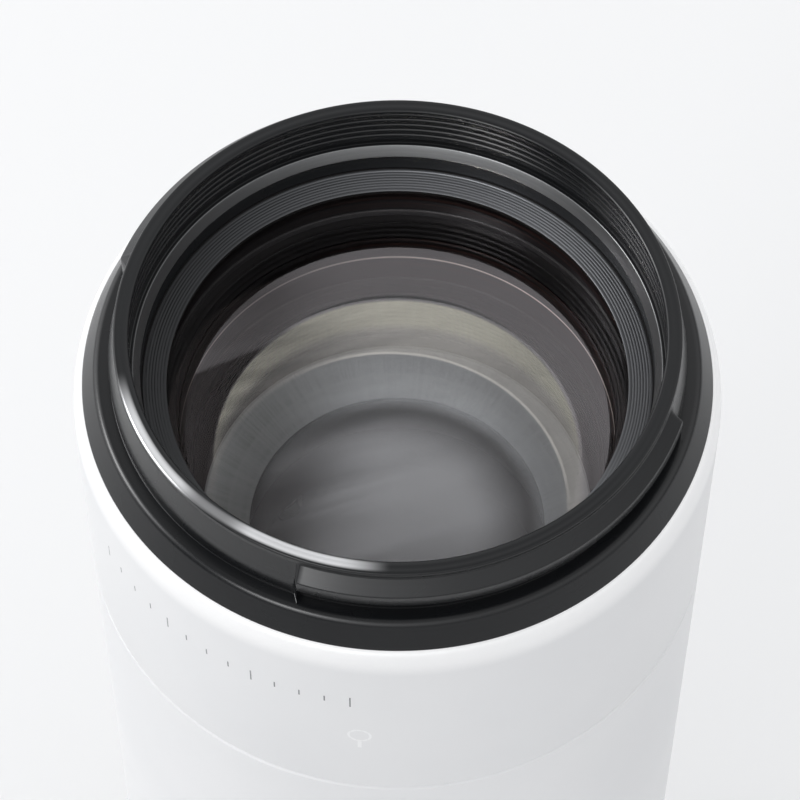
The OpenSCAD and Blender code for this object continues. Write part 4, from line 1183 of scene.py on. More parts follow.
@dataclass
class FrontRing:
    """Black rim with the filter thread, the hood lugs and slots, and the bevel above the glass.

    Heights count up from the white barrel's front edge, and drops down from the ring's top. A waist is the height
    at which points of the lug's wall are moved, and their new radius and height.
    """

    height: float = 12.73
    skirt_low: float = -9.0
    skirt_bore_r: float = 39.58
    skirt_r: float = 46.7
    flange_r: float = 48.0
    fillet: tuple[Span, Span, Span] = ((46.17, 3.48), (45.8, 4.3), (44.9, 4.3))
    fillet_steps: int = 6
    lug_r: float = 44.6
    lug_top: float = 9.6
    rim_r: float = 42.52
    rim_low: float = 11.6
    round_r: float = 0.45
    round_steps: int = 5
    lip_drops: tuple[Span, ...] = ((41.75, 0.0), (41.45, 0.05), (41.15, 0.0), (40.6, 0.0), (40.3, 0.1), (40.12, 0.4),
                                   (40.12, 0.8))
    crest_r: float = 40.6
    groove_r: float = 40.9
    pitch: float = 1.3
    thread_drop: float = 1.1
    thread_low: float = 4.6
    bevel: tuple[Span, Span] = ((40.0, 4.2), (39.0, 2.6))
    bore_low: float = -0.52
    slot_low: float = 4.3
    slot_high: float = 7.4
    slot_floor_r: float = 43.2
    slot_start: float = 251.4
    slot_span: float = 90.0
    waist: tuple[tuple[float, float, float], ...] = ((9.6, 43.2, 8.3), (7.4, 43.55, 6.9), (4.3, 43.4, 4.3))
    edge: float = 0.13
    near: float = 0.1
    level: float = 0.02
    slot_margin: float = 0.5
    rim_top_drop: float = 0.5
    rim_top_slope: float = 0.2

    def outline(self) -> Outline:
        """The ring's outline from its skirt outwards, up and back down inside.

        Returns:
            Its corners.
        """
        e, top = EDGE_Z, EDGE_Z + self.height
        start, corner, end = [(r, e + z) for r, z in self.fillet]
        outer = [(self.skirt_bore_r, e + self.skirt_low), (self.skirt_r, e + self.skirt_low), (self.skirt_r, e),
                 (self.flange_r, e), *rounded(start, corner, end, self.fillet_steps),
                 (self.lug_r, e + self.slot_low), (self.lug_r, e + self.slot_high), (self.lug_r, e + self.lug_top),
                 (self.rim_r, e + self.rim_low),
                 *rounded((self.rim_r, top - self.round_r), (self.rim_r, top), (self.rim_r - self.round_r, top),
                          self.round_steps),
                 *[(r, top - drop) for r, drop in self.lip_drops], (self.crest_r, top - self.thread_drop)]
        thread: Outline = []
        z = top - self.thread_drop
        while z - self.pitch > e + self.thread_low:
            thread += [(self.groove_r, z - self.pitch / 4), (self.crest_r, z - self.pitch / 2),
                       (self.crest_r, z - self.pitch)]
            z -= self.pitch
        (wide_r, bevel_top), (bore_r, bevel_low) = self.bevel
        inner = [(self.crest_r, e + bevel_top), (wide_r, e + bevel_top), (bore_r, e + bevel_low),
                 (bore_r, e + self.bore_low), (self.skirt_bore_r, e + self.bore_low)]
        return outer + thread + inner

    def at_slot(self, point: Vector, margin: float = 0.0) -> bool:
        """Whether a point's azimuth lies in one of the two hood slots, or within a margin of it, in degrees."""
        at = azimuth_of(point)
        return any(within(at, start - margin, self.slot_span + 2 * margin)
                   for start in (self.slot_start, self.slot_start + 180))

    def on_lug(self, point: Vector) -> bool:
        """Whether a point is on the lug's wall."""
        return abs(reach_of(point) - self.lug_r) < self.near

    def build(self) -> None:
        """Turns the ring, sinks its hood slots and dresses it."""
        ring = Bench.turned("front_ring_turned", self.outline(), 360, 0.0)
        low, high = EDGE_Z + self.slot_low + self.near, EDGE_Z + self.slot_high - self.near
        Bench.sink(ring, lambda centre, normal: (
            low * MM < centre.z < high * MM and self.on_lug(centre) and self.at_slot(centre)),
            self.slot_floor_r / self.lug_r)
        for height, waist_r, waist_z in self.waist:
            Bench.shift_points(ring, lambda at: (
                abs(at.z / MM - EDGE_Z - height) < self.level and self.on_lug(at)
                and not self.at_slot(at, self.slot_margin)), waist_r / self.lug_r, waist_z - height)
        Bench.eased(ring, self.edge)
        dress(ring, RING_BLACK, BEVEL_SATIN, RIM_TOP)
        (wide_r, bevel_top), (bore_r, bevel_low) = self.bevel
        margin = self.near / 2
        for face in ring.data.polygons:
            out, up = reach_of(face.center), face.center.z / MM - EDGE_Z
            if bore_r - margin < out < wide_r + margin and bevel_low - self.near < up < bevel_top + self.near:
                face.material_index = 1
            elif up > self.height - self.rim_top_drop and face.normal.z > self.rim_top_slope:
                # Faces on the rim's top take the finish with the painted highlight.
                face.material_index = 2
        mount(ring, "lens_body", "black_anodised", "front_ring")


@dataclass
class FrontGroup:
    """The coated front and second elements, the ring that holds them and their black cell.

    Heights count from the white barrel's front edge. Each lens face is the height of its middle and its curve. The
    retaining ring's ridge is shares of a groove's step with heights above its slanting top.
    """

    glass_r: float = 36.5
    glass_faces: tuple[Span, Span] = ((2.0, 142.0), (-9.5, -600.0))
    second_r: float = 34.0
    second_faces: tuple[Span, Span] = ((-12.0, 2500.0), (-21.0, 200.0))
    chamfer: float = 0.25
    face_steps: int = 40
    face_slope: float = 0.6
    near: float = 0.05
    retainer_inner_r: float = 35.2
    retainer_outer_r: float = 38.84
    retainer_low: float = -2.2
    retainer_wall: float = 1.6
    retainer_rise: float = -0.9
    retainer_flat: float = 0.35
    retainer_crown: float = 0.02
    grooves: int = 7
    groove: Span = (-0.05, -0.03)
    ridge: tuple[Span, ...] = ((0.38, -0.03), (0.48, 0.01), (0.98, 0.01))
    cell_foot: tuple[Span, ...] = ((24.0, -44.6), (24.0, -45.6), (32.4, -44.9))
    cell_flange: tuple[Span, ...] = ((33.0, -43.77), (43.22, -43.77), (43.22, -39.77), (39.5, -39.77))
    cell_seats: tuple[Span, ...] = ((39.5, -0.6), (38.92, -0.6), (38.92, -2.2), (36.58, -2.2), (36.58, -8.53),
                                    (34.08, -8.53), (34.08, -23.92), (32.6, -23.92))
    cell_lip: tuple[Span, ...] = ((31.4, -40.2), (31.2, -40.75), (30.8, -40.8))
    wall_z: Span = (-25.6, -38.6)
    wall_pitch: float = 1.2
    wall_groove: tuple[Span, ...] = ((32.6, 0.0), (32.6, 0.55), (32.1, 0.6), (32.1, 1.15))
    baffle_z: Span = (-44.7, -40.0)
    baffle_r: float = 31.35
    baffle_slope: float = 0.3

    def element(self, name: str, radius: float, faces: tuple[Span, Span], coats: tuple[Any, Any, Any]) -> Piece:
        """A lens element with its own finish on its front, edge and back.

        Args:
            name: The piece's name.
            radius: The element's radius.
            faces: Its front and back face.
            coats: Finishes of front, edge and back.

        Returns:
            The closed element.
        """
        front, back = [dome(EDGE_Z + middle, curve) for middle, curve in faces]
        rim = radius - self.chamfer
        outline = [*arc(0.0, rim, self.face_steps, front), (radius, front(rim) - self.chamfer),
                   (radius, back(rim) + self.chamfer), *arc(rim, 0.0, self.face_steps, back)]
        glass = Bench.turned(name, outline, 256, 0.0, smooth=30)
        dress(glass, *coats)
        for face in glass.data.polygons:
            if reach_of(face.center) > rim + self.near / 2 or abs(face.normal.z) < self.face_slope:
                face.material_index = Face.EDGE.value
            else:
                face.material_index = Face.FRONT.value if face.normal.z > 0 else Face.BACK.value
        return glass

    def build(self) -> None:
        """Builds the group's four pieces."""
        front = self.element("front_element_coated", self.glass_r, self.glass_faces,
                             (FRONT_COAT, EDGE_BROWN, FAINT_COAT))
        mount(front, "lens_body", "coated_glass", "front_element")
        second = self.element("second_element_coated", self.second_r, self.second_faces,
                              (INNER_COAT, EDGE_PAINTED_LINE, REAR_COAT))
        mount(second, "lens_body", "coated_glass", "second_element")
        self.build_retainer()
        self.build_cell()

    def build_retainer(self) -> None:
        """The finely grooved grey ring over the front element's edge."""
        inner, outer, low = self.retainer_inner_r, self.retainer_outer_r, EDGE_Z + self.retainer_low
        high = low + self.retainer_wall
        first = outer - self.retainer_flat
        step = (first - inner - self.chamfer) / self.grooves
        fall = self.retainer_rise / (outer - inner) * step
        top: Outline = [(outer, high), (first, high + self.retainer_crown)]
        for i in range(self.grooves):
            r = first - i * step
            z = high + self.retainer_rise * (outer - r) / (outer - inner)
            top += [(r + self.groove[0], z + self.groove[1]),
                    *[(r - share * step, z + share * fall + up) for share, up in self.ridge]]
        ring = Bench.turned("retaining_ring_grooved", [
            (inner, low), (outer, low), *top, (inner, high + self.retainer_rise)], 360, 0.03, 1)
        dress(ring, RETAINER_GREY, CELL_BLACK)
        for face in ring.data.polygons:
            face.material_index = 1 if reach_of(face.center) < inner + self.near else 0
        mount(ring, "lens_body", "grey_ring", "retaining_ring")

    def build_cell(self) -> None:
        """The black cell with its grooved wall and the satin baffle cone behind the glass."""
        wall: Outline = []
        z, end = self.wall_z
        while z > end:
            wall += [(r, z - down) for r, down in self.wall_groove]
            z -= self.wall_pitch
        outline = [*self.cell_foot, *self.cell_flange, *self.cell_seats, *wall, *self.cell_lip]
        cell = Bench.turned("front_cell_grooved", [(r, EDGE_Z + z) for r, z in outline], 256, 0.06, 1)
        dress(cell, CELL_BLACK, BAFFLE_GREY)
        low, high = self.baffle_z
        for face in cell.data.polygons:
            on_cone = low < face.center.z / MM - EDGE_Z < high and reach_of(face.center) < self.baffle_r
            face.material_index = 1 if on_cone and face.normal.z > self.baffle_slope else 0
        mount(cell, "lens_body", "black_polymer", "front_cell")


@dataclass
class WhiteBarrels:
    """The white shells in front of the zoom ring, with their seam, index mark and tick marks."""

    radius: float = 49.5
    inner_r: float = 47.3
    main_r: float = 45.28
    low: float = 167.7
    foot_wall: float = 2.2
    seam: float = 260.2
    seam_wall: float = 4.0
    chamfer: float = 0.5
    shoulder_w: float = 1.5
    shoulder_h: float = 4.1
    shoulder_steps: int = 12
    mouth_r: float = 46.8
    mouth_depth: float = 9.08
    button_r: float = 4.9
    button_band: float = 8.0
    button_cut: float = 12.0
    wall_r: float = 48.4
    index_azimuth: float = 263.55
    index_z: float = 277.4
    index_ring: tuple[Span, ...] = ((1.35, -0.06), (1.95, -0.06), (1.95, -0.004), (1.8, 0.0), (1.5, 0.0),
                                    (1.35, -0.004))
    index_tail: tuple[float, float, float] = (0.3, -3.9, -1.9)
    tick_z: float = 287.8
    ticks: int = 13
    tick_start: float = 208.0
    tick_step: float = 4.5
    tick_size: tuple[float, float, float] = (0.22, 1.5, 0.05)
    long_tick: float = 1.9
    long_every: int = 4

    def build(self) -> None:
        """Builds both shells and the marks on them."""
        r, c, inner, main = self.radius, self.chamfer, self.inner_r, self.main_r
        shoulder: Outline = []
        for i in range(self.shoulder_steps + 1):
            t = math.pi / 2 * i / self.shoulder_steps
            shoulder.append((r - self.shoulder_w * (1 - math.cos(t)), EDGE_Z - self.shoulder_h * (1 - math.sin(t))))
        front = Bench.turned("front_shell", [
            (main, self.seam), (r - c, self.seam), (r, self.seam + c), *shoulder, (self.mouth_r, EDGE_Z),
            (self.mouth_r, EDGE_Z - self.mouth_depth), (inner, EDGE_Z - self.mouth_depth),
            (inner, self.seam + self.seam_wall), (main, self.seam + self.seam_wall)], 360, 0.1, 2, 30)
        dress(front, SHOULDER_HIGHLIGHT_WHITE)
        mount(front, "lens_body", "white_paint", "front_barrel")
        low, high = BUTTON_Z - self.button_band, BUTTON_Z + self.button_band
        mid = Bench.turned("mid_shell", [
            (main, self.low), (r - c, self.low), (r, self.low + c), (r, low), (r, high), (r, self.seam - c),
            (r - c, self.seam), (main, self.seam), (main, self.seam - self.seam_wall),
            (inner, self.seam - self.seam_wall), (inner, high), (inner, low), (inner, self.low + self.foot_wall),
            (main, self.low + self.foot_wall)], 360, 0.0, 2, 30)
        for azimuth in BUTTON_AZIMUTHS:
            Bench.drill(mid, self.button_r, self.button_cut, spot(azimuth, self.wall_r, BUTTON_Z) @ SIDEWAYS)
        Bench.eased(mid, 0.1, 2, 40, 30)
        mount(mid, "lens_body", "white_paint", "mid_barrel")
        self.build_index()
        self.build_ticks()

    def bend(self, piece: Piece, azimuth: float, z: float) -> Piece:
        """Wraps a flat piece, drawn in X and Y with its thickness in Z, on the barrel.

        Args:
            piece: The flat piece.
            azimuth: Azimuth of its own origin.
            z: Height of its own origin.

        Returns:
            The same piece.
        """
        for vertex in piece.data.vertices:
            across, up, out = vertex.co
            turn = math.radians(azimuth) + across / (self.radius * MM)
            reach = self.radius * MM + out
            vertex.co = (reach * math.cos(turn), reach * math.sin(turn), z * MM + up)
        Bench.pick(piece)
        bpy.ops.object.mode_set(mode="EDIT")
        Bench.close()
        Bench.smooth(piece, 35)
        return piece

    def build_index(self) -> None:
        """The small white ring with a short tail, flush with the shell, that marks the barrel's top."""
        ring = Bench.turned("index_ring", self.index_ring, 48, 0.0)
        half_w, low, high = self.index_tail
        foot = self.index_ring[0][1]
        tail = Bench.box("index_tail", (-half_w, low, foot), (half_w, high, 0.0))
        mark = self.bend(Bench.join("index_mark", [ring, tail]), self.index_azimuth, self.index_z)
        dress(mark, INDEX_WHITE)
        mount(mark, "lens_body", "white_paint")

    def build_ticks(self) -> None:
        """A plain scale of grey tick marks, every fourth one longer."""
        made = []
        width, height, depth = self.tick_size
        short = Bench.box("tick", (-width / 2, -height / 2, -depth), (width / 2, height / 2, 0.0))
        Bench.apply(short, "SUBSURF", subdivision_type="SIMPLE", levels=1, render_levels=1)
        for i in range(self.ticks):
            stretch = Matrix.Diagonal((1.0, 1.0 if i % self.long_every else self.long_tick, 1.0, 1.0))
            tick = Bench.copy(short, f"tick_{i}", stretch)
            made.append(self.bend(tick, self.tick_start + i * self.tick_step, self.tick_z))
        bpy.data.objects.remove(short)
        scale = Bench.join("tick_scale", made)
        dress(scale, MARK_GREY)
        mount(scale, "lens_body", "white_paint")


@dataclass
class FocusButtons:
    """Four round rubber buttons set in the white barrel."""

    radius: float = 4.6
    collar_r: float = 5.6
    collar_h: float = 0.5
    foot: float = 46.1
    top: float = 50.1
    dish: tuple[Span, ...] = ((4.6, 0.25), (4.35, 0.0), (3.7, 0.0), (3.4, 0.12), (2.0, 0.28), (0.0, 0.34))

    def build(self) -> None:
        """Models one button and copies it round the barrel."""
        low, step = self.foot, self.foot + self.collar_h
        first = Bench.turned("focus_button", [
            (0.0, low), (self.collar_r, low), (self.collar_r, step), (self.radius, step),
            *[(r, self.top - drop) for r, drop in self.dish]], 64, 0.0)
        for i, azimuth in enumerate(BUTTON_AZIMUTHS, 1):
            button = Bench.copy(first, f"focus_button_{i}_dished", spot(azimuth, 0, BUTTON_Z) @ SIDEWAYS)
            Bench.smooth(button)
            mount(button, f"focus_button_body_{i}", "black_rubber", f"focus_button_{i}")
        bpy.data.objects.remove(first)


@dataclass
class Grips:
    """Zoom ring and focus ring with their ribbed rubber bands, and the ribbed aperture ring."""

    zoom: Span = (117.3, 167.4)
    focus: Span = (97.3, 117.0)
    aperture: Span = (15.3, 30.7)
    inner_r: float = 45.5
    outer_r: float = 47.7
    groove: tuple[Span, ...] = ((0.0, 1.7), (0.25, 1.9), (0.25, 2.3), (0.0, 2.5))
    rubber_r: float = 49.2
    border: float = 2.5
    chamfer: float = 0.3
    rim: float = 1.2
    plain: float = 1.0
    rib_depth: float = 0.7
    aperture_end: tuple[Span, ...] = ((33.4, 0.0), (36.9, 0.0), (37.2, 0.3), (37.2, 4.2), (37.5, 4.6))
    aperture_plain: float = 4.5

    def sleeve(self, name: str, span: Span, body: str, node: str) -> None:
        """A black ring that carries a rubber band, with a groove near each end.

        Args:
            name: The piece's name.
            span: Its lowest and highest height.
            body: The body that it rides on.
            node: The CAD node that it stands for.
        """
        ring = Bench.turned(name, both_ends(*span, [
            (self.inner_r, 0.0), (self.outer_r, 0.0), *[(self.outer_r - depth, up) for depth, up in self.groove]]),
            288, 0.2)
        mount(ring, body, "black_polymer", node)

    def rubber(self, name: str, span: Span, ribs: int, body: str, node: str) -> None:
        """A ribbed rubber band with plain rims.

        Args:
            name: The piece's name.
            span: Lowest and highest height of the ring under it.
            ribs: Number of ribs.
            body: The body that it rides on.
            node: The CAD node that it stands for.
        """
        low, high = span[0] + self.border, span[1] - self.border
        band = Bench.ribbed(name, both_ends(low, high, [
            (self.outer_r, 0.0), (self.rubber_r - self.chamfer, 0.0), (self.rubber_r, self.chamfer),
            (self.rubber_r, self.rim)]), ribs, self.rib_depth, low + self.plain, high - self.plain, 0.16)
        mount(band, body, "black_rubber", node)

    def build(self) -> None:
        """Builds the three rings."""
        self.sleeve("zoom_sleeve", self.zoom, "zoom_body", "zoom_ring")
        self.rubber("zoom_rubber", self.zoom, 72, "zoom_body", "zoom_grip")
        self.sleeve("focus_sleeve", self.focus, "focus_ring_body", "focus_ring")
        self.rubber("focus_rubber", self.focus, 96, "focus_ring_body", "focus_grip")
        low, high = self.aperture
        ring = Bench.ribbed("aperture_ring_ribbed", both_ends(low, high, self.aperture_end), 60, self.rib_depth,
                            low + self.aperture_plain, high - self.aperture_plain)
        mount(ring, "aperture_body", "black_polymer", "aperture_ring")


@dataclass
class RearBarrel:
    """White barrel behind the zoom ring, the black flange ahead of it and the black rear collar."""

    bore_r: float = 39.6
    shell: tuple[Span, ...] = ((31.0, 31.0), (38.5, 31.0), (42.0, 36.0), (42.0, 64.4), (46.5, 67.4), (46.5, 70.0),
                               (43.0, 70.0), (43.0, 94.4), (39.6, 94.4), (39.6, 36.0), (36.1, 33.4), (31.0, 33.4))
    recess_x: Span = (-47.5, -38.72)
    recess_gap: float = 0.08
    collar: tuple[Span, ...] = ((23.0, 3.0), (32.1, 3.0), (32.4, 3.3), (36.0, 9.0), (36.0, 11.4), (35.75, 11.6),
                                (35.75, 12.1), (36.0, 12.3), (36.0, 15.0), (33.1, 15.0), (33.1, 31.0), (31.0, 31.0),
                                (31.0, 5.0), (23.0, 5.0))
    flange_r: float = 47.5
    flange_z: Span = (94.4, 97.0)
    tube_r: Span = (43.3, 45.2)
    tube_top: float = 262.2
    key_start: float = 22.0
    key_span: float = 106.0
    key_z: Span = (134.7, 145.3)

    def build(self) -> None:
        """Builds the barrel, the main barrel and the rear collar."""
        rear = Bench.turned("rear_shell", self.shell, 288, 0.0)
        (left, right), (low, high), gap = self.recess_x, PANEL_Z, self.recess_gap
        Bench.cut(rear, Bench.box("panel_recess", (left, -PANEL_HALF_W - gap, low - gap),
                                  (right, PANEL_HALF_W + gap, high + gap)))
        Bench.eased(rear, 0.25, smooth=30)
        mount(rear, "lens_body", "white_paint", "rear_barrel")
        self.build_main()
        collar = Bench.turned("rear_collar_turned", self.collar, 288, 0.15)
        mount(collar, "lens_body", "black_polymer", "rear_collar")

    def build_main(self) -> None:
        """The main barrel with its wide flange and the slot for the zoom ring's key."""
        (inner, outer), (foot, face), (low, high), top = self.tube_r, self.flange_z, self.key_z, self.tube_top
        main = Bench.turned("main_barrel_turned", [
            (self.bore_r, foot), (self.flange_r, foot), (self.flange_r, face), (outer, face), (outer, low),
            (outer, high), (outer, top), (inner, top), (inner, high), (inner, low), (inner, face),
            (self.bore_r, face)], 360, 0.0)
        Bench.choose(main, lambda centre, normal: (
            low * MM < centre.z < high * MM and within(azimuth_of(centre), self.key_start, self.key_span)))
        bpy.ops.mesh.delete(type="FACE")
        bpy.ops.mesh.select_mode(type="EDGE")
        bpy.ops.mesh.select_non_manifold()
        bpy.ops.mesh.bridge_edge_loops()
        Bench.close()
        Bench.eased(main, 0.2, 2, 40)
        mount(main, "lens_body", "black_alloy", "main_barrel")


@dataclass
class SwitchPanel:
    """The black panel with its three slide switches and the set button, at the left of the rear barrel."""

    face: float = -43.4
    back: float = -38.8
    rows: tuple[float, ...] = (37.4, 44.8, 52.2)
    switches: tuple[str, ...] = ("stabiliser_switch", "focus_range_switch", "button_mode_switch")
    wall: float = 1.6
    skin: float = 2.4
    slot_half: Span = (4.3, 2.1)
    past: float = 1.0
    travel: float = 4.0
    thumb_half: Span = (2.0, 1.8)
    thumb_x: Span = (-1.1, 3.0)
    notch_rows: tuple[float, ...] = (-1.0, 0.0, 1.0)
    notch_x: Span = (-2.0, -0.75)
    notch_half: Span = (0.22, 3.0)
    base_half: Span = (7.0, 2.8)
    base_x: Span = (2.7, 3.5)
    button_z: float = 59.6
    button_bore_r: float = 2.9
    button_cut: float = 8.0
    button_seat: float = 3.4
    button: tuple[Span, ...] = ((0.0, 0.0), (3.3, 0.0), (3.3, 0.8), (2.6, 0.8), (2.6, 3.5), (2.4, 3.7), (1.9, 3.7),
                                (1.5, 3.58), (0.0, 3.45))
    line_y: Span = (-9.6, -7.4)
    line_half_h: float = 0.14
    line_x: Span = (-0.02, 0.05)
    dot_y: float = 8.4
    dot: tuple[Span, ...] = ((0.0, -0.05), (0.45, -0.05), (0.45, 0.02), (0.0, 0.02))

    def block(self, name: str, depth: Span, y: Span, z: Span, edge: float = 0.0) -> Piece:
        """A block in or on the panel.

        Args:
            name: The piece's name.
            depth: How deep its front and back lie behind the panel's face.
            y: Its span along the rows.
            z: Its span of heights.
            edge: Radius of its edges.

        Returns:
            The block.
        """
        return Bench.box(name, (self.face + depth[0], y[0], z[0]), (self.face + depth[1], y[1], z[1]), edge)

    def build(self) -> None:
        """Builds the panel, then what moves in it."""
        low, high = PANEL_Z
        thick = self.back - self.face
        panel = self.block("panel_plate", (0.0, thick), (-PANEL_HALF_W, PANEL_HALF_W), PANEL_Z)
        Bench.cut(panel, self.block("panel_hollow", (self.skin, thick + self.past), (
            -PANEL_HALF_W + self.wall, PANEL_HALF_W - self.wall), (low + self.wall, high - self.wall)))
        half_l, half_h = self.slot_half
        for z in self.rows:
            Bench.cut(panel, self.block("slot", (-self.past, self.skin + self.past), (-half_l, half_l), (
                z - half_h, z + half_h)))
        Bench.drill(panel, self.button_bore_r, self.button_cut, Toward.LEFT.matrix(self.face, 0, self.button_z))
        Bench.eased(panel, 0.35, 3, smooth=40)
        mount(panel, "lens_body", "black_polymer", "switch_panel")
        self.build_marks()
        for z, name in zip(self.rows, self.switches):
            self.build_switch(name, z)
        button = Bench.turned("set_button_dished", self.button, 64, 0.0)
        Bench.lay(button, Toward.LEFT.matrix(self.face + self.button_seat, 0, self.button_z))
        Bench.smooth(button)
        mount(button, "set_button_body", "black_rubber", "set_button")

    def build_switch(self, name: str, z: float) -> None:
        """One slide switch with a ridged thumb piece.

        Args:
            name: The CAD node that it stands for.
            z: Its row's height.
        """
        rest = -self.travel / 2
        half_l, half_h = self.thumb_half
        thumb = self.block(name + "_thumb", self.thumb_x, (rest - half_l, rest + half_l), (z - half_h, z + half_h))
        half_l, half_h = self.notch_half
        for row in self.notch_rows:
            y = rest + row
            Bench.cut(thumb, self.block("notch", self.notch_x, (y - half_l, y + half_l), (z - half_h, z + half_h)))
        Bench.bevel(thumb, 0.14, 2, 30)
        half_l, half_h = self.base_half
        base = self.block(name + "_base", self.base_x, (rest - half_l, rest + half_l), (z - half_h, z + half_h), 0.15)
        switch = Bench.join(name + "_ridged", [thumb, base])
        Bench.smooth(switch)
        mount(switch, name + "_body", "grey_switch", name)

    def build_marks(self) -> None:
        """A plain line and a dot beside each switch for its two places."""
        marks = []
        for z in self.rows:
            marks.append(self.block("line_mark", self.line_x, self.line_y, (
                z - self.line_half_h, z + self.line_half_h)))
            dot = Bench.turned("dot_mark", self.dot, 24, 0.0)
            marks.append(Bench.lay(dot, Toward.LEFT.matrix(self.face, self.dot_y, z)))
        marks = Bench.join("panel_marks", marks)
        dress(marks, INDEX_WHITE)
        mount(marks, "lens_body", "white_paint")


@dataclass
class TripodMount:
    """White tripod collar and foot with their two knurled knobs."""

    low: float = 70.3
    high: float = 94.1
    mid: float = 82.2
    inner_r: float = 43.3
    outer_r: float = 47.5
    pad_w: float = 15.0
    pad_y: Span = (44.2, 56.0)
    plate_y: Span = (65.0, 74.0)
    plate_z: Span = (62.3, 140.3)
    half_w: float = 18.0
    dovetail: float = 2.4
    sockets: tuple[Span, Span] = ((91.3, 3.175), (111.3, 4.76))
    boss_r: float = 6.0
    boss_x: float = 53.0
    boss_length: float = 9.0
    bore_r: float = 2.08
    bore_cut: float = 10.0
    socket_cut: float = 14.0
    sunk: float = 0.01
    foot_knob_y: float = 60.5
    knob_gap: float = 0.3
    knob_ribs: int = 18
    knob_sizes: tuple[Span, Span] = ((8.5, 9.0), (4.2, 7.0))
    knob_rib_depth: float = 0.6
    knob_rim: Span = (1.0, 1.2)
    shaft_r: float = 2.0
    shaft_length: float = 5.0

    def build(self) -> None:
        """Builds collar, foot and knobs."""
        ring = Bench.turned("tripod_collar_shaped", both_ends(
            self.low, self.high, [(self.inner_r, 0.0), (self.outer_r, 0.0)]), 288, 0.0)
        Bench.merge(ring, Bench.box("pad", (-self.pad_w, self.pad_y[0], self.low + self.sunk),
                                    (self.pad_w, self.pad_y[1], self.high - self.sunk)))
        boss = Toward.RIGHT.matrix(self.boss_x - self.boss_length / 2, 0, self.mid)
        Bench.merge(ring, Bench.rod(self.boss_r, self.boss_length, boss, 96))
        Bench.drill(ring, self.bore_r, self.bore_cut, Toward.RIGHT.matrix(self.boss_x, 0, self.mid))
        Bench.eased(ring, 0.45, 3)
        mount(ring, "tripod_body", "white_paint", "tripod_collar")
        self.build_foot()
        wide, slim = self.knob_sizes
        self.build_knob("collar_knob", Toward.RIGHT.matrix(self.boss_x + self.knob_gap, 0, self.mid), *wide)
        self.build_knob("foot_knob", Toward.LEFT.matrix(-self.pad_w - self.knob_gap, self.foot_knob_y, self.mid),
                        *slim)

    def build_foot(self) -> None:
        """The foot: a neck and a long dovetail plate with two threaded holes."""
        (y, end), w, waist = self.plate_y, self.half_w, self.half_w - self.dovetail
        third = (end - y) / 3
        foot = Bench.slab("tripod_foot_dovetail", [
            (-w, y), (w, y), (w, y + third), (waist, y + 2 * third), (w, end), (-w, end),
            (-waist, y + 2 * third), (-w, y + third)], *self.plate_z)
        Bench.merge(foot, Bench.box("neck", (-self.pad_w, self.pad_y[1], self.low), (self.pad_w, y + 1, self.high)))
        for z, radius in self.sockets:
            Bench.drill(foot, radius, self.socket_cut, Toward.FOOT.matrix(0, end, z))
        Bench.drill(foot, self.bore_r, self.bore_cut, Toward.LEFT.matrix(-self.pad_w, self.foot_knob_y, self.mid))
        Bench.eased(foot, 0.5, 3, 25)
        mount(foot, "tripod_body", "white_paint", "tripod_foot")

    def build_knob(self, node: str, matrix: Matrix, radius: float, length: float) -> None:
        """A knurled knob with a dished end and its shaft.

        Args:
            node: The CAD node that it stands for.
            matrix: Its place, with Z outwards.
            radius: Its radius.
            length: Its length.
        """
        knob = Bench.ribbed(node + "_knurled", [
            (0.0, -self.shaft_length), (self.shaft_r, -self.shaft_length), (self.shaft_r, 0.0), (radius - 0.6, 0.0),
            (radius, 0.6), (radius, 1.2), (radius, length - 1.4), (radius, length - 0.6), (radius - 0.6, length),
            (radius - 1.4, length), (radius - 1.8, length - 0.5), (0.0, length - 0.5)],
            self.knob_ribs, self.knob_rib_depth, self.knob_rim[0], length - self.knob_rim[1], 0.12)
        Bench.lay(knob, matrix)
        mount(knob, node + "_body", "black_alloy", node)


@dataclass
class MountEnd:
    """The bright bayonet mount with its claws and screw seats, and the rubber gasket round it."""

    foot: float = -4.8
    claw_top: float = -3.2
    face: float = 3.0
    spigot_r: float = 21.75
    inner_r: float = 20.2
    claw_r: float = 23.6
    claws: int = 3
    claw_span: float = 50.0
    claw_reach: float = 21.0
    claw_slope: float = -0.5
    flange_r: float = 30.5
    screws: int = 4
    screw_start: float = 45.0
    screw_circle: float = 27.0
    head: Span = (2.28, 2.6)
    shank: Span = (1.08, 8.0)
    gasket: tuple[Span, ...] = ((30.58, 0.3), (31.3, -0.1), (31.78, -0.3), (31.78, 3.0), (30.58, 3.0))

    def build(self) -> None:
        """Builds the mount ring and its gasket."""
        ring = Bench.turned("mount_ring_turned", [
            (self.inner_r, self.foot), (self.spigot_r, self.foot), (self.spigot_r, self.claw_top),
            (self.spigot_r, 0.0), (self.flange_r, 0.0), (self.flange_r, self.face), (self.inner_r, self.face)],
            360, 0.0)

        def on_claw(centre: Vector, normal: Vector) -> bool:
            """Whether a face of the spigot lies in one of the claws."""
            return (self.foot * MM < centre.z < self.claw_top * MM and reach_of(centre) > self.claw_reach
                    and normal.z > self.claw_slope
                    and azimuth_of(centre) % (360.0 / self.claws) <= self.claw_span)

        Bench.sink(ring, on_claw, self.claw_r / self.spigot_r)
        for i in range(self.screws):
            place = spot(self.screw_start + 360 / self.screws * i, self.screw_circle)
            Bench.drill(ring, *self.head, place, 48)
            Bench.drill(ring, *self.shank, place, 32)
        Bench.eased(ring, 0.12)
        mount(ring, "lens_body", "bright_mount", "mount_ring")
        seal = Bench.turned("mount_gasket_turned", self.gasket, 288, 0.08)
        mount(seal, "lens_body", "black_rubber", "mount_gasket")


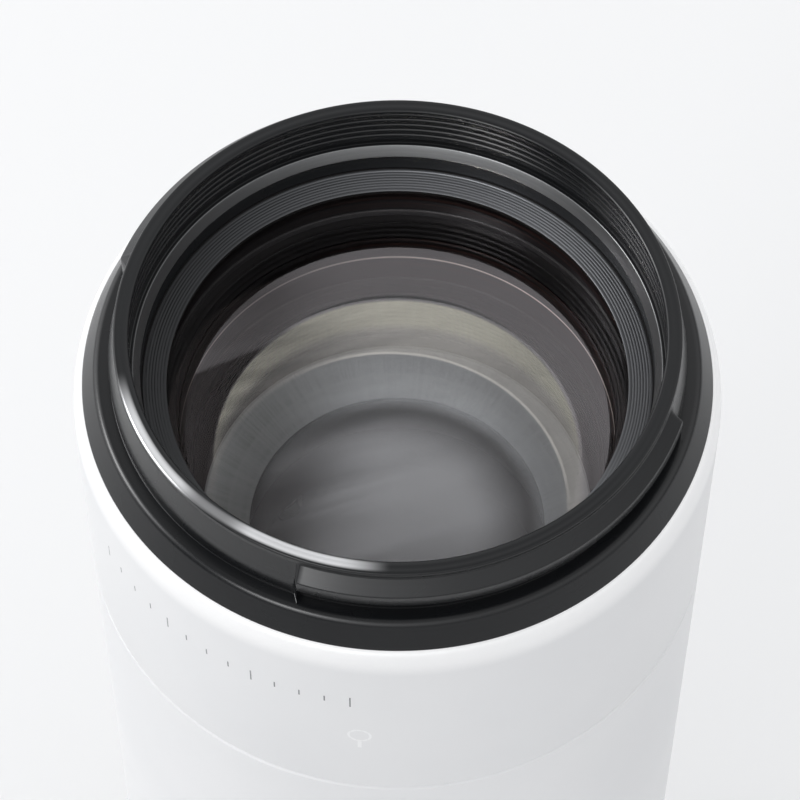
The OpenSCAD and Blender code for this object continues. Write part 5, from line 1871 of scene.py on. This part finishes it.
@dataclass
class Lamp:
    """A disk lamp aimed at the front of the object, with lengths in metres."""

    name: str
    place: tuple[float, float, float]
    size: float
    watts: float
    shines: bool
    target: tuple[float, float, float] = (0.0, 0.0, 0.28)

    def build(self) -> None:
        """Adds the lamp; it shows in reflections only where it shines."""
        data = bpy.data.lights.new(self.name, "AREA")
        data.shape, data.size, data.energy = "DISK", self.size, self.watts
        lamp = bpy.data.objects.new(self.name, data)
        lamp.location = self.place
        lamp.rotation_mode = "QUATERNION"
        lamp.rotation_quaternion = (Vector(self.target) - Vector(self.place)).to_track_quat("-Z", "Y")
        lamp.visible_glossy = self.shines
        bpy.context.scene.collection.objects.link(lamp)


@dataclass
class Studio:
    """Pale floor, soft world, lamps and the camera at the photograph's viewpoint.

    A window is the way it lies, the cosines between which its border fades, and its light. The ramps run over the
    parts of the way that a ray goes. The camera's turns are in radians and its place in metres.
    """

    floor_z: float = -4.8
    floor_size: float = 8.0
    eye: tuple[float, float, float] = (0.0, -0.2910922, 0.7516329)
    down: float = 1.0041099
    pan: float = 0.00132473
    roll: float = 0.00429902
    lens: float = 158.535
    clip: Span = (0.01, 20.0)
    air: Colour = (0.985, 0.99, 1.0)
    ceiling: Ramp = (0.78, 0.90, 1.0, 0.55)
    wall_foot: Ramp = (0.10, 0.50, 0.45, 1.0)
    left_wall: Ramp = (-0.42, -0.08, 0.28, 1.0)
    front_turn: Span = (0.50, 0.85)
    front_rise: Span = (0.15, 0.40)
    front_left: Ramp = (-0.5, 0.0, 2.6, 0.6)
    front_right: Ramp = (0.0, 0.3, 1.0, 0.1)
    soft: Ramp = (0.1, 1.0, 0.31, 1.26)
    windows: tuple[tuple[tuple[float, float, float], float, float, float], ...] = (
        ((-0.818, 0.123, 0.562), 0.955, 0.985, 3.5),
        ((-0.472, -0.623, 0.623), 0.965, 0.990, 4.5),
        ((-0.84, 0.42, 0.35), 0.72, 0.96, 1.8))
    lamps: tuple[Lamp, ...] = (
        Lamp("left", (-1.10, 0.20, 0.92), 0.50, 4.0, True),
        Lamp("left_front", (-0.62, -0.80, 1.10), 0.40, 2.0, True),
        Lamp("back", (0.2, 1.2, 0.9), 0.9, 1.5, False))

    def build(self) -> None:
        """Builds the whole studio."""
        self.build_camera()
        self.build_floor()
        self.build_world()
        for lamp in self.lamps:
            lamp.build()

    def build_camera(self) -> None:
        """Places the camera as solved from the rings in the photograph."""
        cd, sd, cp, sp = math.cos(self.down), math.sin(self.down), math.cos(self.pan), math.sin(self.pan)
        ahead = Vector((sp * cd, cp * cd, -sd))
        right = Vector((cp, -sp, 0.0))
        up = right.cross(ahead)
        x_axis = right * math.cos(self.roll) + up * math.sin(self.roll)
        y_axis = up * math.cos(self.roll) - right * math.sin(self.roll)
        view = Matrix((x_axis, y_axis, -ahead)).transposed().to_4x4()
        data = bpy.data.cameras.new("photo_camera")
        data.lens, data.sensor_width = self.lens, 36.0
        data.clip_start, data.clip_end = self.clip
        camera = bpy.data.objects.new("photo_camera", data)
        camera.matrix_world = Matrix.Translation(self.eye) @ view
        bpy.context.scene.collection.objects.link(camera)
        bpy.context.scene.camera = camera

    def build_floor(self) -> None:
        """A wide pale floor that the mount stands on."""
        Bench.clear()
        bpy.ops.mesh.primitive_plane_add(size=self.floor_size, location=(0.0, 0.0, self.floor_z * MM))
        floor = bpy.context.object
        floor.name = "floor"
        bpy.ops.object.transform_apply(location=True)
        dress(floor, FLOOR_PALE)

    def build_world(self) -> None:
        """A soft white room.

        The camera sees it plain white. Reflections see it dimmer low down, overhead and at the left, with a bright
        front and three windows, and soft light comes mostly from above.
        """
        graph = Graph("soft_room", world=True)
        bpy.context.scene.world = graph.owner
        x, y, z = graph.parts(graph.node("ShaderNodeTexCoord", output="Generated"))
        rays = graph.node("ShaderNodeLightPath")
        paths = {out.name: Wire(graph, out) for out in rays.socket.node.outputs}
        mirrored = paths["Is Glossy Ray"]
        clear = paths["Is Camera Ray"] + paths["Is Transmission Ray"]
        room = z.ramp(*self.ceiling) * z.ramp(*self.wall_foot) * x.ramp(*self.left_wall)
        front = (0.0 - y).ramp(*self.front_turn) * z.ramp(*self.front_rise)
        front = front * x.ramp(*self.front_left) * x.ramp(*self.front_right)
        for (wx, wy, wz), start, end, light in self.windows:
            front = front + (x * wx + y * wy + z * wz).ramp(start, end, 0.0, light)
        soft = (1.0 - (clear + mirrored).ramp(0.0, 1.0)) * z.ramp(*self.soft)
        strength = clear + mirrored * (room + front) + soft
        background = graph.node("ShaderNodeBackground", {}, {"Color": self.air, "Strength": strength})
        graph.tree.links.new(background.socket, graph.output.inputs["Surface"])


def dress_nodes() -> None:
    """Gives every CAD node the finish of its slot."""
    for part in frame["record"]["subparts"]:
        node = frame["nodes"].get(part["node"])
        finish = SLOT_FINISH[part["material_slot"]].build()
        if node is None:
            continue
        if not node.data.materials:
            node.data.materials.append(finish)
        for slot in node.material_slots:
            slot.material = finish


def corners(pair: Iterable[Vector]) -> list[list[float]]:
    """Two corners as plain lists."""
    return [list(map(float, corner)) for corner in pair]


def main() -> None:
    """Builds the classes in order."""
    logging.basicConfig(level=logging.INFO, format="%(message)s")
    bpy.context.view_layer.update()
    bpy.context.scene.view_settings.view_transform = "Standard"
    dress_nodes()
    for assembly in (Studio(), FrontRing(), FrontGroup(), WhiteBarrels(), FocusButtons(), Grips(), RearBarrel(),
                     SwitchPanel(), TripodMount(), MountEnd()):
        assembly.build()
        log.info("%s built", type(assembly).__name__)
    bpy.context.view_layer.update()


if __name__ == "__main__":
    main()
